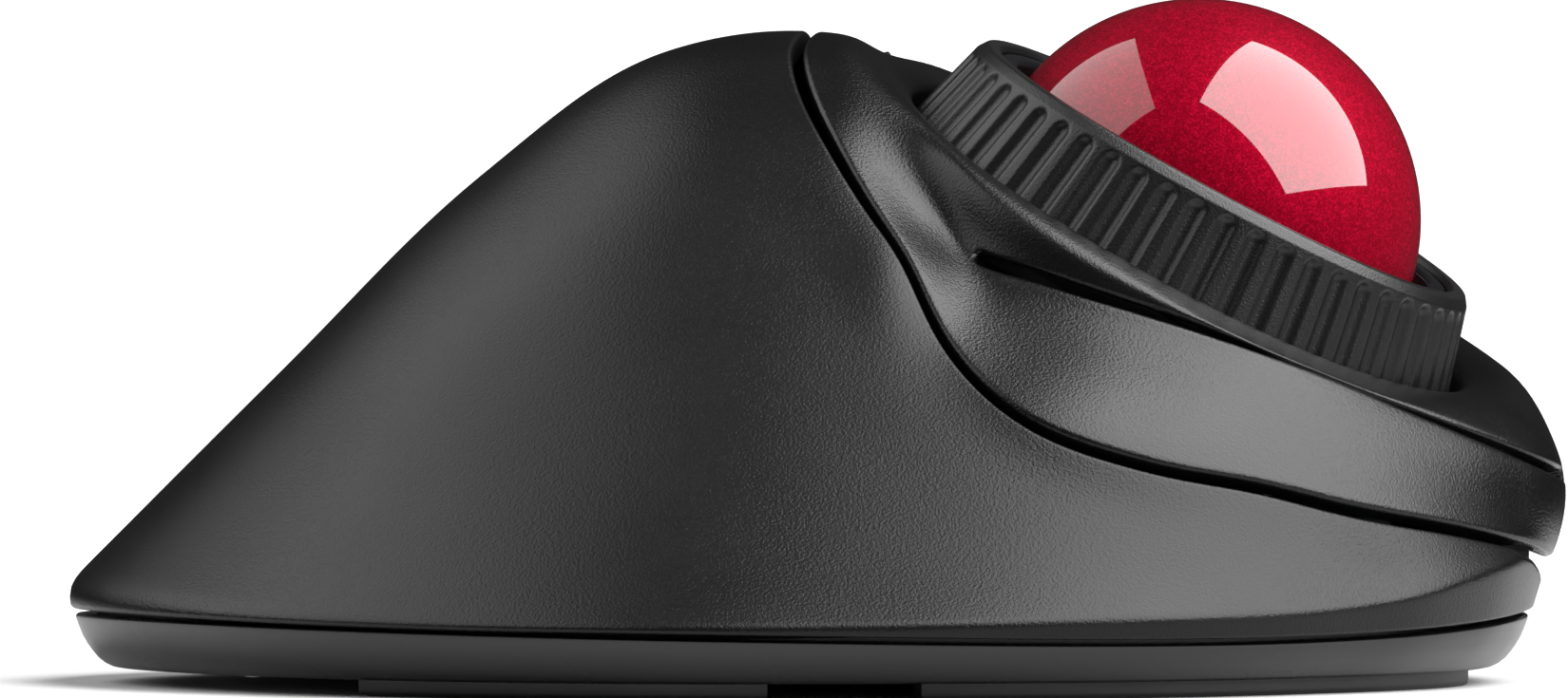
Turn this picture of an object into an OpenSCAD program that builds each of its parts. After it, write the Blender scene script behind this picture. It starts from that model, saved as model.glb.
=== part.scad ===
// Trackball mouse for the right hand: a sloping palm rest, a large ball in a fluted scroll ring,
// one click flap on each side of the ring, thumb buttons on the left flank.
// +X points to the ball end, +Y to the thumb side, +Z up; the origin is on the desk, below the middle.

/* [Ball and ring] */
// Radius of the ball
ball_r = 20; // [18:0.5:20]
// Forward tilt of the ball and ring axis, degrees
ring_pitch = 28; // [26:0.5:30]
// Sideways tilt of the ball and ring axis, degrees
ring_roll = 8; // [6:0.5:10]
// Number of finger flutes round the scroll ring
flute_count = 54; // [36:2:60]
// Radius of each flute
flute_r = 0.95; // [0.6:0.05:1.1]

/* [Shells] */
// Wall of the palm shell
palm_wall = 2.2; // [1.8:0.1:2.6]
// Wall of the front cover and the click flaps
cover_wall = 2; // [1.6:0.1:2.2]
// Half of the visible gap between neighbouring shells
half_gap = 0.5; // [0.4:0.05:0.6]
// Height of the base's underside above the desk
base_z = 1.4; // [1.2:0.1:1.6]
// Thickness of the base floor
floor_t = 1.6; // [1.2:0.1:1.8]

/* [Controls] */
// Travel of the thumb buttons
thumb_travel = 0.6; // [0.4:0.1:0.8]
// Travel of the power slider
power_travel = 4; // [2:0.5:4]

/* [Battery] */
// Diameter of the AA cell
cell_d = 14.2; // [13.5:0.1:14.5]
// Length of the AA cell with its tip
cell_l = 50.2; // [49:0.1:50.5]

/* [Hidden] */
$fn = 48;
hub = [34, 4];
ball_c = [34.5, 4, 41.5];
ring_top = 5.4;
neck_r = 22.15;
run_fit = 0.05;

// Control net of the outer skin. Each row is a closed curve round the hub: [angle, radius, height],
// with the angle counted from the front. The two rows at the ring are [angle, radius, height above
// the ball centre] in the tilted ring frame.
LIP = [[-180, 28, -2], [-90, 28, -3.2], [0, 28, -1.8], [90, 28, 0]];
SHOULDER = [[-180, 31, -0.6], [-150, 31, -1.6], [-120, 31, -3.6], [-90, 31, -4.2], [-60, 31, -3.8],
    [-30, 31, -1.6], [0, 31, 0.2], [45, 31, 0.4], [90, 31.5, -0.6], [130, 31.5, -0.4], [155, 31, 0.2]];
SLIT = [[-180, 30, 58], [-150, 33, 50.3], [-138, 32.6, 43], [-132, 32.5, 38.9], [-127, 32.4, 37.5],
    [-120, 32.2, 36.5], [-110, 31.7, 34.8], [-95, 30.6, 32.3], [-75, 29.8, 28.8], [-54, 29.8, 25],
    [-33, 31.4, 21.5], [-14, 33.4, 19],
    [0, 33.3, 18.6], [14, 33.4, 19.2], [33, 31.6, 22.4], [54, 30.4, 26.6], [75, 31, 31.2],
    [95, 32.5, 36], [115, 34, 41], [135, 33, 47.5], [158, 31, 55]];
GROOVE = [[-180, 34.5, 58.6], [-168, 36.5, 56.2], [-160, 37.3, 53], [-148, 38.3, 47.6],
    [-138, 39, 41.7], [-131, 39.8, 37.5], [-125, 41.4, 31.7], [-119, 43, 27.5], [-112, 44.2, 23.8],
    [-98, 42.6, 19.8], [-85, 39.5, 18], [-72, 36.8, 16], [-50, 34, 14], [-31, 33, 12.4],
    [-15, 32.4, 11], [0, 31.6, 10.6], [15, 32.4, 11], [31, 33, 12.6], [50, 34, 15.5],
    [75, 36, 20.5], [98, 39, 27], [112, 40, 33], [125, 38.5, 41], [140, 36, 49], [160, 34.5, 56]];
FLANK_HIGH = [[-180, 48, 56.7], [-160, 47, 50], [-140, 46, 37.5], [-120, 47, 24], [-98, 44.4, 16.6],
    [-72, 37.6, 13.8], [-50, 34.7, 12.6], [-31, 33.1, 12.1], [-15, 32.2, 10.6], [0, 31.4, 10.2],
    [15, 32.2, 10.6], [31, 33.1, 12.3], [50, 34.4, 14], [75, 36.6, 17.4], [98, 39.6, 22],
    [120, 41.5, 31], [140, 44, 44.5], [160, 46.5, 53]];
FLANK_MID = [[-180, 64, 45.8], [-160, 61, 40.5], [-140, 56, 28.8], [-120, 52.5, 18],
    [-98, 46.8, 13.2], [-72, 38.4, 11.6], [-50, 35.2, 11.5], [-31, 33.3, 11.8], [-15, 32, 10.2],
    [0, 31.3, 9.8], [15, 32, 10.2], [31, 33.2, 12], [50, 34.7, 12.6], [75, 37.5, 14], [98, 41, 17],
    [120, 44, 23], [140, 51.5, 33.5], [160, 60, 42.5]];
FLANK_LOW = [[-180, 82, 28.2], [-160, 77, 24], [-140, 68, 17.2], [-120, 58.5, 11.8],
    [-98, 49.4, 9.8], [-72, 39.2, 9.6], [-50, 35.5, 10.6], [-31, 33.5, 11.6], [-15, 31.9, 9.8],
    [0, 31.2, 9.4], [15, 31.9, 9.8], [31, 33.3, 11.8], [50, 34.9, 11.2], [75, 39, 10.6],
    [98, 44, 11.6], [120, 48.5, 14], [140, 61, 19.5], [160, 75, 25.5]];
CREASE = [[-180, 101.6, 8.6], [-160, 93.5, 7.2], [-150, 88, 6.6], [-140, 81, 6.2], [-130, 73.5, 6.2],
    [-120, 65, 6.3], [-110, 58.5, 6.5], [-98, 52, 6.8], [-85, 45.5, 7], [-72, 40.5, 7.6],
    [-60, 37.8, 8.6], [-50, 36, 9.8], [-40, 34.7, 10.8], [-31, 33.6, 11.4], [-22, 32.4, 10.4],
    [-12, 31.5, 9.4], [0, 31.1, 9], [12, 31.5, 9.4], [22, 32.4, 10.4], [31, 33.4, 11.4],
    [50, 35.2, 9.8], [65, 38, 8.2], [82, 42.5, 7], [98, 48, 6.8], [110, 51.5, 6.6],
    [120, 55.5, 6.5], [130, 62.5, 6.5], [140, 72.5, 6.7], [150, 82, 7], [160, 91, 7.4]];
SLIT_ROW = 2;
GROOVE_ROW = 3;
CREASE_ROW = 7;

// Smooth curve through knots [t, values...], by cubic Hermite pieces
function slope(k, i) = let(last = len(k) - 1)
    i == 0 ? (k[1] - k[0]) / (k[1][0] - k[0][0]) :
    i == last ? (k[last] - k[last - 1]) / (k[last][0] - k[last - 1][0]) :
    let(h0 = k[i][0] - k[i - 1][0], h1 = k[i + 1][0] - k[i][0])
    ((k[i] - k[i - 1]) / h0 * h1 + (k[i + 1] - k[i]) / h1 * h0) / (h0 + h1);
function piece_of(k, t) = let(hits = [for (i = [0:len(k) - 2]) if (k[i][0] <= t) i])
    len(hits) == 0 ? 0 : hits[len(hits) - 1];
function curve(k, t) = let(i = piece_of(k, t), h = k[i + 1][0] - k[i][0], u = (t - k[i][0]) / h)
    (2 * u * u * u - 3 * u * u + 1) * k[i] + (u * u * u - 2 * u * u + u) * h * slope(k, i)
    + (3 * u * u - 2 * u * u * u) * k[i + 1] + (u * u * u - u * u) * h * slope(k, i + 1);
function shifted(knot, turn) = [for (i = [0:len(knot) - 1]) knot[i] + (i == 0 ? turn : 0)];
function closed(k) = let(n = len(k)) concat([shifted(k[n - 2], -360), shifted(k[n - 1], -360)],
    k, [shifted(k[0], 360), shifted(k[1], 360)]);
lip_k = closed(LIP);
shoulder_k = closed(SHOULDER);
outer_k = [for (row = [SLIT, GROOVE, FLANK_HIGH, FLANK_MID, FLANK_LOW, CREASE]) closed(row)];

// The ring frame turned into the part's frame
function tilted(p) = let(
    y = p[1] * cos(ring_roll) - p[2] * sin(ring_roll),
    z = p[1] * sin(ring_roll) + p[2] * cos(ring_roll))
    ball_c + [p[0] * cos(ring_pitch) + z * sin(ring_pitch), y,
        z * cos(ring_pitch) - p[0] * sin(ring_pitch)];
function near_ring(k, a) = let(v = curve(k, a)) tilted([v[1] * cos(a), v[1] * sin(a), v[2]]);
function round_hub(k, a) = let(v = curve(k, a)) [hub[0] + v[1] * cos(a), hub[1] + v[1] * sin(a), v[2]];

// One column of the skin: knots [arc length, x, y, z] from the ring down to the crease
function net_points(a) = concat([near_ring(lip_k, a), near_ring(shoulder_k, a)],
    [for (k = outer_k) round_hub(k, a)]);
function running(p, i) = i == 0 ? 0 : running(p, i - 1) + norm(p[i] - p[i - 1]);
function column(a) = let(p = net_points(a)) [for (i = [0:len(p) - 1]) concat([running(p, i)], p[i])];
function along(c, s) = let(v = curve(c, s)) [v[1], v[2], v[3]];

// Parting line between the palm shell and the base, under the crease
band_lean = 0.3;
function parting_z(a) = 5.8 + 0.8 * cos(2 * a);
function crease_point(a) = round_hub(outer_k[5], a);
function rim_point(a) = let(c = crease_point(a), z = parting_z(a), back = band_lean * (c[2] - z))
    [c[0] - back * cos(a), c[1] - back * sin(a), z];

// A slab: a grid of skin points given a thickness along the skin's own normal
function unit(v) = v / norm(v);
function grid_normal(g, i, j, loop) = let(n = len(g), m = len(g[0]),
    i0 = loop ? (i + n - 1) % n : max(i - 1, 0), i1 = loop ? (i + 1) % n : min(i + 1, n - 1),
    j0 = max(j - 1, 0), j1 = min(j + 1, m - 1))
    unit(cross(g[i][j1] - g[i][j0], g[i1][j] - g[i0][j]));
function pushed(g, depth, loop) = [for (i = [0:len(g) - 1], j = [0:len(g[0]) - 1])
    g[i][j] + depth[j] * grid_normal(g, i, j, loop)];
function quad(a, b, c, d) = [[a, b, c], [a, c, d]];
function slab_faces(n, m, loop) = let(cols = loop ? n - 1 : n - 2, q = n * m) [
    for (i = [0:cols], j = [0:m - 2]) let(a = i * m + j, b = (i + 1) % n * m + j)
        each concat(quad(a, b, b + 1, a + 1), quad(q + a, q + a + 1, q + b + 1, q + b)),
    for (i = [0:cols]) let(a = i * m, b = (i + 1) % n * m, e = m - 1)
        each concat(quad(b, a, q + a, q + b), quad(a + e, b + e, q + b + e, q + a + e)),
    if (!loop) for (j = [0:m - 2]) let(e = (n - 1) * m)
        each concat(quad(j, j + 1, q + j + 1, q + j),
            quad(e + j + 1, e + j, q + e + j, q + e + j + 1))];
// walls is the thickness at each row; proud lifts the outer face off the skin
module slab(g, walls, loop = false, proud = 0) {
    lift = [for (w = walls) proud];
    polyhedron(concat(pushed(g, lift, loop), pushed(g, -walls, loop)), slab_faces(len(g), len(g[0]), loop));
}
// Thickness of the rows of a panel that thins towards its first and last edges
function thinned(rows, wall, first, last) = [for (j = [0:rows - 1])
    j == 0 ? first : j == rows - 1 ? last : wall];
// Grid of skin between two edges; each edge is a function of the angle and the column
function skin_grid(angles, steps, from, to) = [for (a = angles)
    let(c = column(a), s0 = from(a, c), s1 = to(a, c))
    [for (j = [0:steps]) along(c, s0 + (s1 - s0) * j / steps)]];
function ease(t) = let(u = min(max(t, 0), 1)) u * u * (3 - 2 * u);
// Everything inside becomes one closed mesh
module one_mesh() {
    resize([0, 0, 0]) children();
}
module ring_frame() {
    translate(ball_c) rotate([ring_roll, ring_pitch, 0]) children();
}
module tube(r_out, r_in, low, high) {
    difference() {
        translate([0, 0, low]) cylinder(r = r_out, h = high - low, $fn = 96);
        translate([0, 0, low - 1]) cylinder(r = r_in, h = high - low + 2, $fn = 96);
    }
}
module box(low, high) {
    translate(low) cube(high - low);
}

// Where the flaps end: at the neck behind and at the spine in front
flap_back = 127.6;
flap_front = 6.5;
spine = 4;
seam = 1.3;
lip_angle = 33;

function palm_top(a, c) = let(t = ease((abs(a) - lip_angle + 4) / 8))
    c[CREASE_ROW][0] - 0.2 + t * (c[GROOVE_ROW][0] + half_gap - c[CREASE_ROW][0] + 0.2);
palm_angles = [for (a = [-180:6:174]) a];
palm_grid = [for (a = palm_angles) let(c = column(a), s0 = palm_top(a, c), s1 = c[CREASE_ROW][0])
    concat([for (j = [0:7]) along(c, s0 + (s1 - s0) * pow(j / 7, 0.9))], [rim_point(a)])];
screw_spots = [[-48, -20], [-48, 24], [14, -14], [14, 20], [48.5, -6], [48.5, 14]];
shell_spots = [screw_spots[0], screw_spots[1]];
boss_top = 13.5;
boss_r = 3;
pilot_r = 1.05;

// Thumb buttons and resolution button: patches of skin [first angle, last angle, row, start, length]
FORWARD = [101, 116, GROOVE_ROW, 3, 6];
BACK = [119, 135, GROOVE_ROW, 3, 6];
DPI = [152, 164, SLIT_ROW, -2.2, 4.2];
patch_gap = 0.4;
patch_wall = 2.4;
patch_rows = 4;
edge_wall = 1;
// The wall is thinner beside the groove and down the narrow band at the parting line
palm_walls = concat([edge_wall], [for (j = [1:6]) palm_wall], [edge_wall, edge_wall]);
thumb_stem = 1.4;
dpi_stem = 0.4;
function patch_grid(p, grow) = let(turn = grow * 1.45) skin_grid(
    [for (i = [0:6]) p[0] - turn + (p[1] - p[0] + 2 * turn) * i / 6], patch_rows,
    function(a, c) c[p[2]][0] + p[3] - grow, function(a, c) c[p[2]][0] + p[3] + p[4] + grow);
function patch_middle(p) = let(c = column((p[0] + p[1]) / 2)) along(c, c[p[2]][0] + p[3] + p[4] / 2);
function patch_normal(p) = let(g = patch_grid(p, 0)) grid_normal(g, 3, 2, false);
module facing(p) {
    n = patch_normal(p);
    translate(patch_middle(p)) rotate([0, acos(n[2]), atan2(n[1], n[0])]) children();
}
module patch_hole(p, depth) {
    slab(patch_grid(p, patch_gap), thinned(patch_rows + 1, depth, depth, depth), proud = 3);
}
module patch_button(p, stem) {
    one_mesh() {
        slab(patch_grid(p, 0), thinned(patch_rows + 1, patch_wall, patch_wall, patch_wall), proud = 0.7);
        facing(p) translate([0, 0, -patch_wall - stem]) cylinder(r = 1.2, h = stem + 0.8, $fn = 24);
    }
}

module palm_shell() {
    color("#2b2b2d") one_mesh() difference() {
        union() {
            slab(palm_grid, palm_walls, true);
            for (p = shell_spots) translate([p[0], p[1], base_z + floor_t + 3])
                cylinder(r = boss_r, h = boss_top - base_z - floor_t - 3, $fn = 24);
        }
        patch_hole(FORWARD, 5);
        patch_hole(BACK, 5);
        for (p = shell_spots) translate([p[0], p[1], 0]) cylinder(r = pilot_r, h = 16, $fn = 20);
    }
}

function cover_edge(a, c) = abs(a) > flap_back + seam ? c[GROOVE_ROW][0] - half_gap
    : abs(a) < spine + 0.1 ? c[GROOVE_ROW][0] - half_gap : c[SLIT_ROW][0] - half_gap;
cover_angles = concat([for (a = [-180:7:-131]) a], [-flap_back - seam - 0.1, -flap_back - seam + 0.2],
    [for (a = [-121:7:-9]) a], [-spine - 0.4, -spine, 0, spine, spine + 0.4],
    [for (a = [9:7:121]) a], [flap_back + seam - 0.2, flap_back + seam + 0.1], [for (a = [131:7:173]) a]);
cover_skin = skin_grid(cover_angles, 5, function(a, c) 0, function(a, c) cover_edge(a, c));
// The well's wall goes down from the lip, so each column starts at the foot of that wall
well_r = 28;
well_foot = -8;
well_wall = 1.1;
cover_grid = [for (i = [0:len(cover_angles) - 1]) let(a = cover_angles[i])
    concat([tilted([well_r * cos(a), well_r * sin(a), well_foot])], cover_skin[i])];
cover_walls = [well_wall, 1.6, cover_wall, cover_wall - 0.5, 0.9, 0.6, 0.5];
module front_cover() {
    color("#262628") one_mesh() difference() {
        slab(cover_grid, cover_walls, true);
        patch_hole(DPI, 3.2);
    }
}

module flap(side) {
    angles = [for (i = [0:20]) side * (flap_back + (flap_front - flap_back) * i / 20)];
    ordered = side < 0 ? angles : [for (i = [20:-1:0]) angles[i]];
    spot = switch_spots[side < 0 ? 0 : 1];
    c = column(side * 76);
    push = along(c, (c[SLIT_ROW][0] + c[GROOVE_ROW][0]) / 2) - [0, side, 1];
    one_mesh() {
        slab(skin_grid(ordered, 6, function(a, c) c[SLIT_ROW][0] + half_gap + 0.4,
            function(a, c) c[GROOVE_ROW][0] - half_gap - 0.1),
            [0.6, 1.2, cover_wall, cover_wall, cover_wall, cover_wall - 0.4, edge_wall]);
        hull() {
            translate([spot[0], spot[1], switch_top + 1.1]) cylinder(r = 1.4, h = 2, $fn = 20);
            translate(push) sphere(r = 1.2, $fn = 20);
        }
    }
}
module right_button() {
    color("#262628") flap(-1);
}
module left_button() {
    color("#262628") flap(1);
}

// Outline of the case seen from above, moved inwards
outline_angles = [for (a = [-180:5:175]) a];
function outline(inset, angles = outline_angles) = [for (a = angles)
    let(p = rim_point(a), q = rim_point(a + 1), r = rim_point(a - 1), d = unit([q[0] - r[0], q[1] - r[1]]))
    [p[0] - inset * d[1], p[1] + inset * d[0]]];
parting_gap = 0.4;
function base_ring(inset, low, share) = let(o = outline(inset)) [for (i = [0:len(o) - 1])
    [o[i][0], o[i][1], low + share * (parting_z(outline_angles[i]) - parting_gap - low)]];
// Levels of the base, inside and out: [inset, height above its floor as a share of the wall]
base_skin = [for (v = [[4, 0], [2.9, 0.1], [1.9, 0.3], [1, 0.6], [0.3, 1]]) base_ring(v[0], base_z, v[1])];
base_hollow = [for (v = [[6, 0], [3.9, 0.25], [2.6, 0.7], [2.2, 1.1], [2.2, 3]])
    base_ring(v[0], base_z + floor_t, v[1])];
// Solid through a stack of rings, lowest first
module loft(rings) {
    n = len(rings[0]);
    m = len(rings);
    points = concat([for (ring = rings) each ring], [[0, 0, rings[0][0][2]], [0, 0, rings[m - 1][0][2]]]);
    polyhedron(points, [for (i = [0:n - 1]) let(k = (i + 1) % n) each concat(
        [[m * n, i, k], [m * n + 1, (m - 1) * n + k, (m - 1) * n + i]],
        [for (j = [0:m - 2]) each quad(j * n + k, j * n + i, (j + 1) * n + i, (j + 1) * n + k)])]);
}
bay = [[-48, -6], [24, 14]];
door_gap = 0.25;
power_spot = [30, -30];
floor_top = base_z + floor_t;
bay_top = floor_top + 16.4;
cell_z = floor_top + 1 + cell_d / 2;

module base() {
    color("#343437") one_mesh() difference() {
        union() {
            difference() {
                loft(base_skin);
                loft(base_hollow);
            }
            difference() {
                box([bay[0][0] - 1, bay[0][1] - 2, base_z], [bay[1][0] + 2, bay[1][1] + 2, bay_top + 1]);
                box([bay[0][0], bay[0][1], 0], [bay[1][0] - 17, bay[1][1], bay_top]);
                box([bay[1][0] - 16, bay[0][1], 0], [bay[1][0], bay[1][1], floor_top + 7]);
                box([bay[1][0] - 16, bay[0][1] - 3, floor_top + 8], [bay[1][0] + 3, bay[1][1] + 3, 40]);
            }
            for (p = screw_spots) translate([p[0], p[1], base_z])
                cylinder(r = boss_r, h = floor_t + (p[0] < 0 ? 2.8 : 1), $fn = 24);
        }
        box([bay[0][0], bay[0][1], 0], [bay[1][0], bay[1][1], floor_top + 0.1]);
        for (p = screw_spots) translate([p[0], p[1], 0]) {
            cylinder(r = 1.25, h = 12, $fn = 24);
            cylinder(r = 2.2, h = base_z + 1, $fn = 24);
        }
        box([power_spot[0] - 4.5, power_spot[1] - 2.3, 0], [power_spot[0] + 4.5, power_spot[1] + 2.3, 4]);
        for (f = FEET) linear_extrude(base_z + 0.3) polygon(foot_outline(f, 0.15));
    }
}
module battery_door() {
    color("#2e2e30") difference() {
        box([bay[0][0] + door_gap, bay[0][1] + door_gap, base_z],
            [bay[1][0] - door_gap, bay[1][1] - door_gap, floor_top]);
        for (i = [0:4]) box([bay[1][0] - 9 + i * 1.4, 0, 0], [bay[1][0] - 8.3 + i * 1.4, 8, base_z + 0.5]);
    }
}

// Feet: bands of skid tape that follow the outline, [first angle, last angle, width]
FEET = [[-150, -124, 9], [-114, -27, 4.5], [124, 150, 9], [27, 114, 4.5]];
foot_inset = 4.6;
function foot_outline(f, grow = 0) = let(turn = grow * 1.2, n = 12,
    angles = [for (i = [0:n]) f[0] - turn + (f[1] - f[0] + 2 * turn) * i / n])
    concat(outline(foot_inset - grow, angles),
        [for (p = outline(foot_inset + f[2] + grow, [for (i = [n:-1:0]) angles[i]])) p]);
module foot(f) {
    color("#1a1a1b") linear_extrude(base_z + 0.29) polygon(foot_outline(f));
}
module rear_right_foot() {
    foot(FEET[0]);
}
module front_right_foot() {
    foot(FEET[1]);
}
module rear_left_foot() {
    foot(FEET[2]);
}
module front_left_foot() {
    foot(FEET[3]);
}

// Scroll ring: flared, fluted, open in the middle
module scroll_ring() {
    color("#1f1f20") ring_frame() difference() {
        rotate_extrude($fn = 120) polygon([[neck_r + run_fit, -5], [27.4, -5], [27.4, -3.6], [25, 4.4],
            [24.7, 5.1], [24.2, ring_top], [23.1, ring_top], [22.8, 5.1], [22.8, 3.8],
            [neck_r + run_fit, 3.8]]);
        for (i = [0:flute_count - 1]) rotate([0, 0, i * 360 / flute_count]) translate([25.15, 0, 4])
            rotate([0, 163.3, 0]) translate([0.62, 0, 0]) cylinder(r = flute_r, h = 12, $fn = 16);
    }
}
module ring_code_wheel() {
    color("#d8d8d4") ring_frame() difference() {
        tube(26.4, 24.4, -7.6, -5);
        for (i = [0:17]) rotate([0, 0, i * 20]) box([24, -2, -7], [27, 2, -5.8]);
    }
}
module ring_glide() {
    color("white") ring_frame() tube(23.8, neck_r + 0.1, -8, -5 - run_fit);
}
module ring_sensor() {
    color("#303030") ring_frame() rotate([0, 0, 150]) difference() {
        box([23.9, -3, -8], [27.6, 3, -5.4]);
        box([24.2, -4, -7.8], [26.6, 4, -5]);
    }
}
module socket_bezel() {
    color("#0c0c0d") ring_frame() rotate_extrude($fn = 96) polygon([[20.9, 2], [neck_r, 2], [neck_r, 4],
        [22.6, 4], [22.6, 4.6], [22.3, 4.9], [21.2, 4.9], [20.9, 4.6]]);
}
module ball() {
    color("#c00f2e") ring_frame() sphere(r = ball_r, $fn = 96);
}

// Socket: a cup round the ball with a running neck for the ring, a flange, legs and three ball seats
cup_in = ball_r + 0.6;
cup_out = ball_r + 2.6;
flange = [-9.5, -8];
seat_drop = 35;
sensor_turn = 220;
leg_spots = [[14, -14, 38], [14, 20, 43.2], [48.5, -6, 20.8], [48.5, 14, 24]];
module at_seat(i) {
    ring_frame() rotate([0, 0, 90 + i * 120]) rotate([0, 90 + seat_drop, 0]) children();
}
module at_sensor() {
    ring_frame() rotate([0, sensor_turn, 0]) children();
}
module ball_socket() {
    color("#3a3a3d") difference() {
        union() {
            ring_frame() intersection() {
                sphere(r = cup_out, $fn = 96);
                translate([0, 0, -30]) cylinder(r = 30, h = 24, $fn = 48);
            }
            ring_frame() translate([0, 0, -6.5]) cylinder(r = neck_r, h = 8.5, $fn = 96);
            ring_frame() translate([0, 0, flange[0]]) cylinder(r = 28, h = flange[1] - flange[0], $fn = 96);
            for (p = leg_spots) translate([p[0], p[1], floor_top + 1])
                cylinder(r = 2.6, h = p[2] - floor_top - 1);
        }
        ring_frame() sphere(r = cup_in, $fn = 96);
        ring_frame() translate([0, 0, 0]) cylinder(r = cup_in, h = 5, $fn = 96);
        ring_frame() translate([0, 0, -30]) cylinder(r = 4, h = 20);
        at_sensor() cylinder(r = 3.5, h = 30);
        for (i = [0:2]) at_seat(i) translate([0, 0, 18]) cylinder(r = 1.3, h = 10, $fn = 32);
        for (p = leg_spots) translate([p[0], p[1], 0]) cylinder(r = pilot_r, h = 15, $fn = 20);
    }
}
module support_balls() {
    color("#f2f2ee") for (i = [0:2]) at_seat(i) translate([0, 0, ball_r + 1.3]) sphere(r = 1.25, $fn = 32);
}
module sensor_lens() {
    color("#cfe3ea") at_sensor() difference() {
        translate([0, 0, 23]) cylinder(r = 4.4, h = 2);
        translate([0, 0, 22]) cylinder(r = 2, h = 1.6);
    }
}
module sensor_chip() {
    color("#151515") at_sensor() box([-5, -4, 25.1], [5, 4, 26.6]);
}
module sensor_board() {
    color("#20603a") at_sensor() difference() {
        box([-9, -8, 26.6], [9, 8, 27.8]);
        for (x = [-7, 7]) translate([x, 5.5, 26]) cylinder(r = 1, h = 3, $fn = 24);
    }
}

board_z = floor_top + 3;
switch_top = 17;
switch_spots = [[40, -21], [40, 29]];
module main_board() {
    color("#20603a") difference() {
        union() {
            translate([0, 0, board_z]) linear_extrude(1.4) polygon([[28, -25], [44, -26], [57, -12],
                [57, 20], [44, 34], [28, 33]]);
            for (y = [-4, 12]) translate([32, y, floor_top]) cylinder(r = 1.6, h = 3.2, $fn = 32);
        }
        for (p = leg_spots) translate([p[0], p[1], board_z - 1]) cylinder(r = 3.3, h = 4);
    }
}
module radio_chip() {
    color("#151515") box([36, 1, board_z + 1.4], [43, 8, board_z + 2.4]);
}
module click_switch(p) {
    color("#222222") difference() {
        union() {
            box([p[0] - 6.4, p[1] - 2.9, switch_top - 6.5], [p[0] + 6.4, p[1] + 2.9, switch_top]);
            box([p[0] - 4, p[1] - 2.6, board_z + 1.4], [p[0] + 4, p[1] + 2.6, switch_top - 6.5]);
        }
        box([p[0] - 1.2, p[1] - 1.7, switch_top - 2.2], [p[0] + 1.2, p[1] + 1.7, switch_top + 1]);
    }
}
module right_switch() {
    click_switch(switch_spots[0]);
}
module left_switch() {
    click_switch(switch_spots[1]);
}
module plunger(p) {
    color("#d9dadb") box([p[0] - 1, p[1] - 1.5, switch_top - 0.9], [p[0] + 1, p[1] + 1.5, switch_top + 0.8]);
}
module right_plunger() {
    plunger(switch_spots[0]);
}
module left_plunger() {
    plunger(switch_spots[1]);
}

module forward_button() {
    color("#262628") patch_button(FORWARD, thumb_stem);
}
module back_button() {
    color("#262628") patch_button(BACK, thumb_stem);
}
module dpi_button() {
    color("#3a3a3d") patch_button(DPI, dpi_stem);
}
// Small tact switches sit just past the stems of the thumb and resolution buttons
switch_gap = thumb_travel + 0.3;
module tact(p, stem, size, height) {
    facing(p) translate([-size / 2, -size / 2, -patch_wall - stem - switch_gap - height])
        cube([size, size, height]);
}
module thumb_switches() {
    color("#303030") {
        tact(FORWARD, thumb_stem, 4.4, 2.6);
        tact(BACK, thumb_stem, 4.4, 2.6);
    }
}
board_depth = patch_wall + thumb_stem + switch_gap + 3.8;
module board_behind(p) {
    facing(p) translate([-4.5, -5.6, -board_depth]) cube([9, 11.2, 1.2]);
}
module thumb_board() {
    color("#20603a") one_mesh() {
        board_behind(FORWARD);
        board_behind(BACK);
        hull() {
            facing(FORWARD) translate([-2, 4, 0.1 - board_depth]) cube([4, 1.6, 1]);
            facing(BACK) translate([-2, -5.6, 0.1 - board_depth]) cube([4, 1.6, 1]);
        }
    }
}
module dpi_switch() {
    color("#303030") tact(DPI, dpi_stem, 3, 1.2);
}

module power_slider() {
    color("#e4e4e2") box([power_spot[0] - 4.2, power_spot[1] - 2, base_z - 0.3],
        [power_spot[0] - 0.2, power_spot[1] + 2, floor_top + 0.3]);
}
module power_switch() {
    color("#b9bcc0") box([power_spot[0] - 6, power_spot[1] - 3, floor_top + 0.5],
        [power_spot[0] + 6, power_spot[1] + 3, floor_top + 2.9]);
}
cell_y = 4;
cell_x = bay[0][0] + 2.6;
module battery() {
    color("#c9a13b") translate([cell_x, cell_y, cell_z]) rotate([0, 90, 0]) {
        cylinder(d = cell_d, h = cell_l - 1.4);
        cylinder(d = 5.4, h = cell_l);
    }
}
// Conical spring: a wire swept round a growing circle
spring_wire = 0.4;
spring_steps = 36;
spring_length = 1.7;
function spring_mid(i) = let(a = i * 30, r = 5 - 2.6 * i / spring_steps)
    [i * spring_length / spring_steps, r * cos(a), r * sin(a)];
spring_points = [for (i = [0:spring_steps], k = [0:7]) let(a = i * 30, m = spring_mid(i))
    [m[0] + spring_wire * sin(k * 45), m[1] + spring_wire * cos(k * 45) * cos(a),
    m[2] + spring_wire * cos(k * 45) * sin(a)]];
spring_faces = concat([[for (k = [0:7]) k]], [for (i = [0:spring_steps - 1], k = [0:7])
    each quad(i * 8 + k, (i + 1) * 8 + k, (i + 1) * 8 + (k + 1) % 8, i * 8 + (k + 1) % 8)],
    [[for (k = [7:-1:0]) spring_steps * 8 + k]]);
module battery_spring() {
    color("#c8ccd0") translate([bay[0][0] + spring_wire, cell_y, cell_z])
        polyhedron(spring_points, spring_faces);
}
module battery_contact() {
    color("#c8ccd0") box([cell_x + cell_l + 0.05, cell_y - 4, cell_z - 4],
        [cell_x + cell_l + 0.55, cell_y + 4, cell_z + 4]);
}
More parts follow.
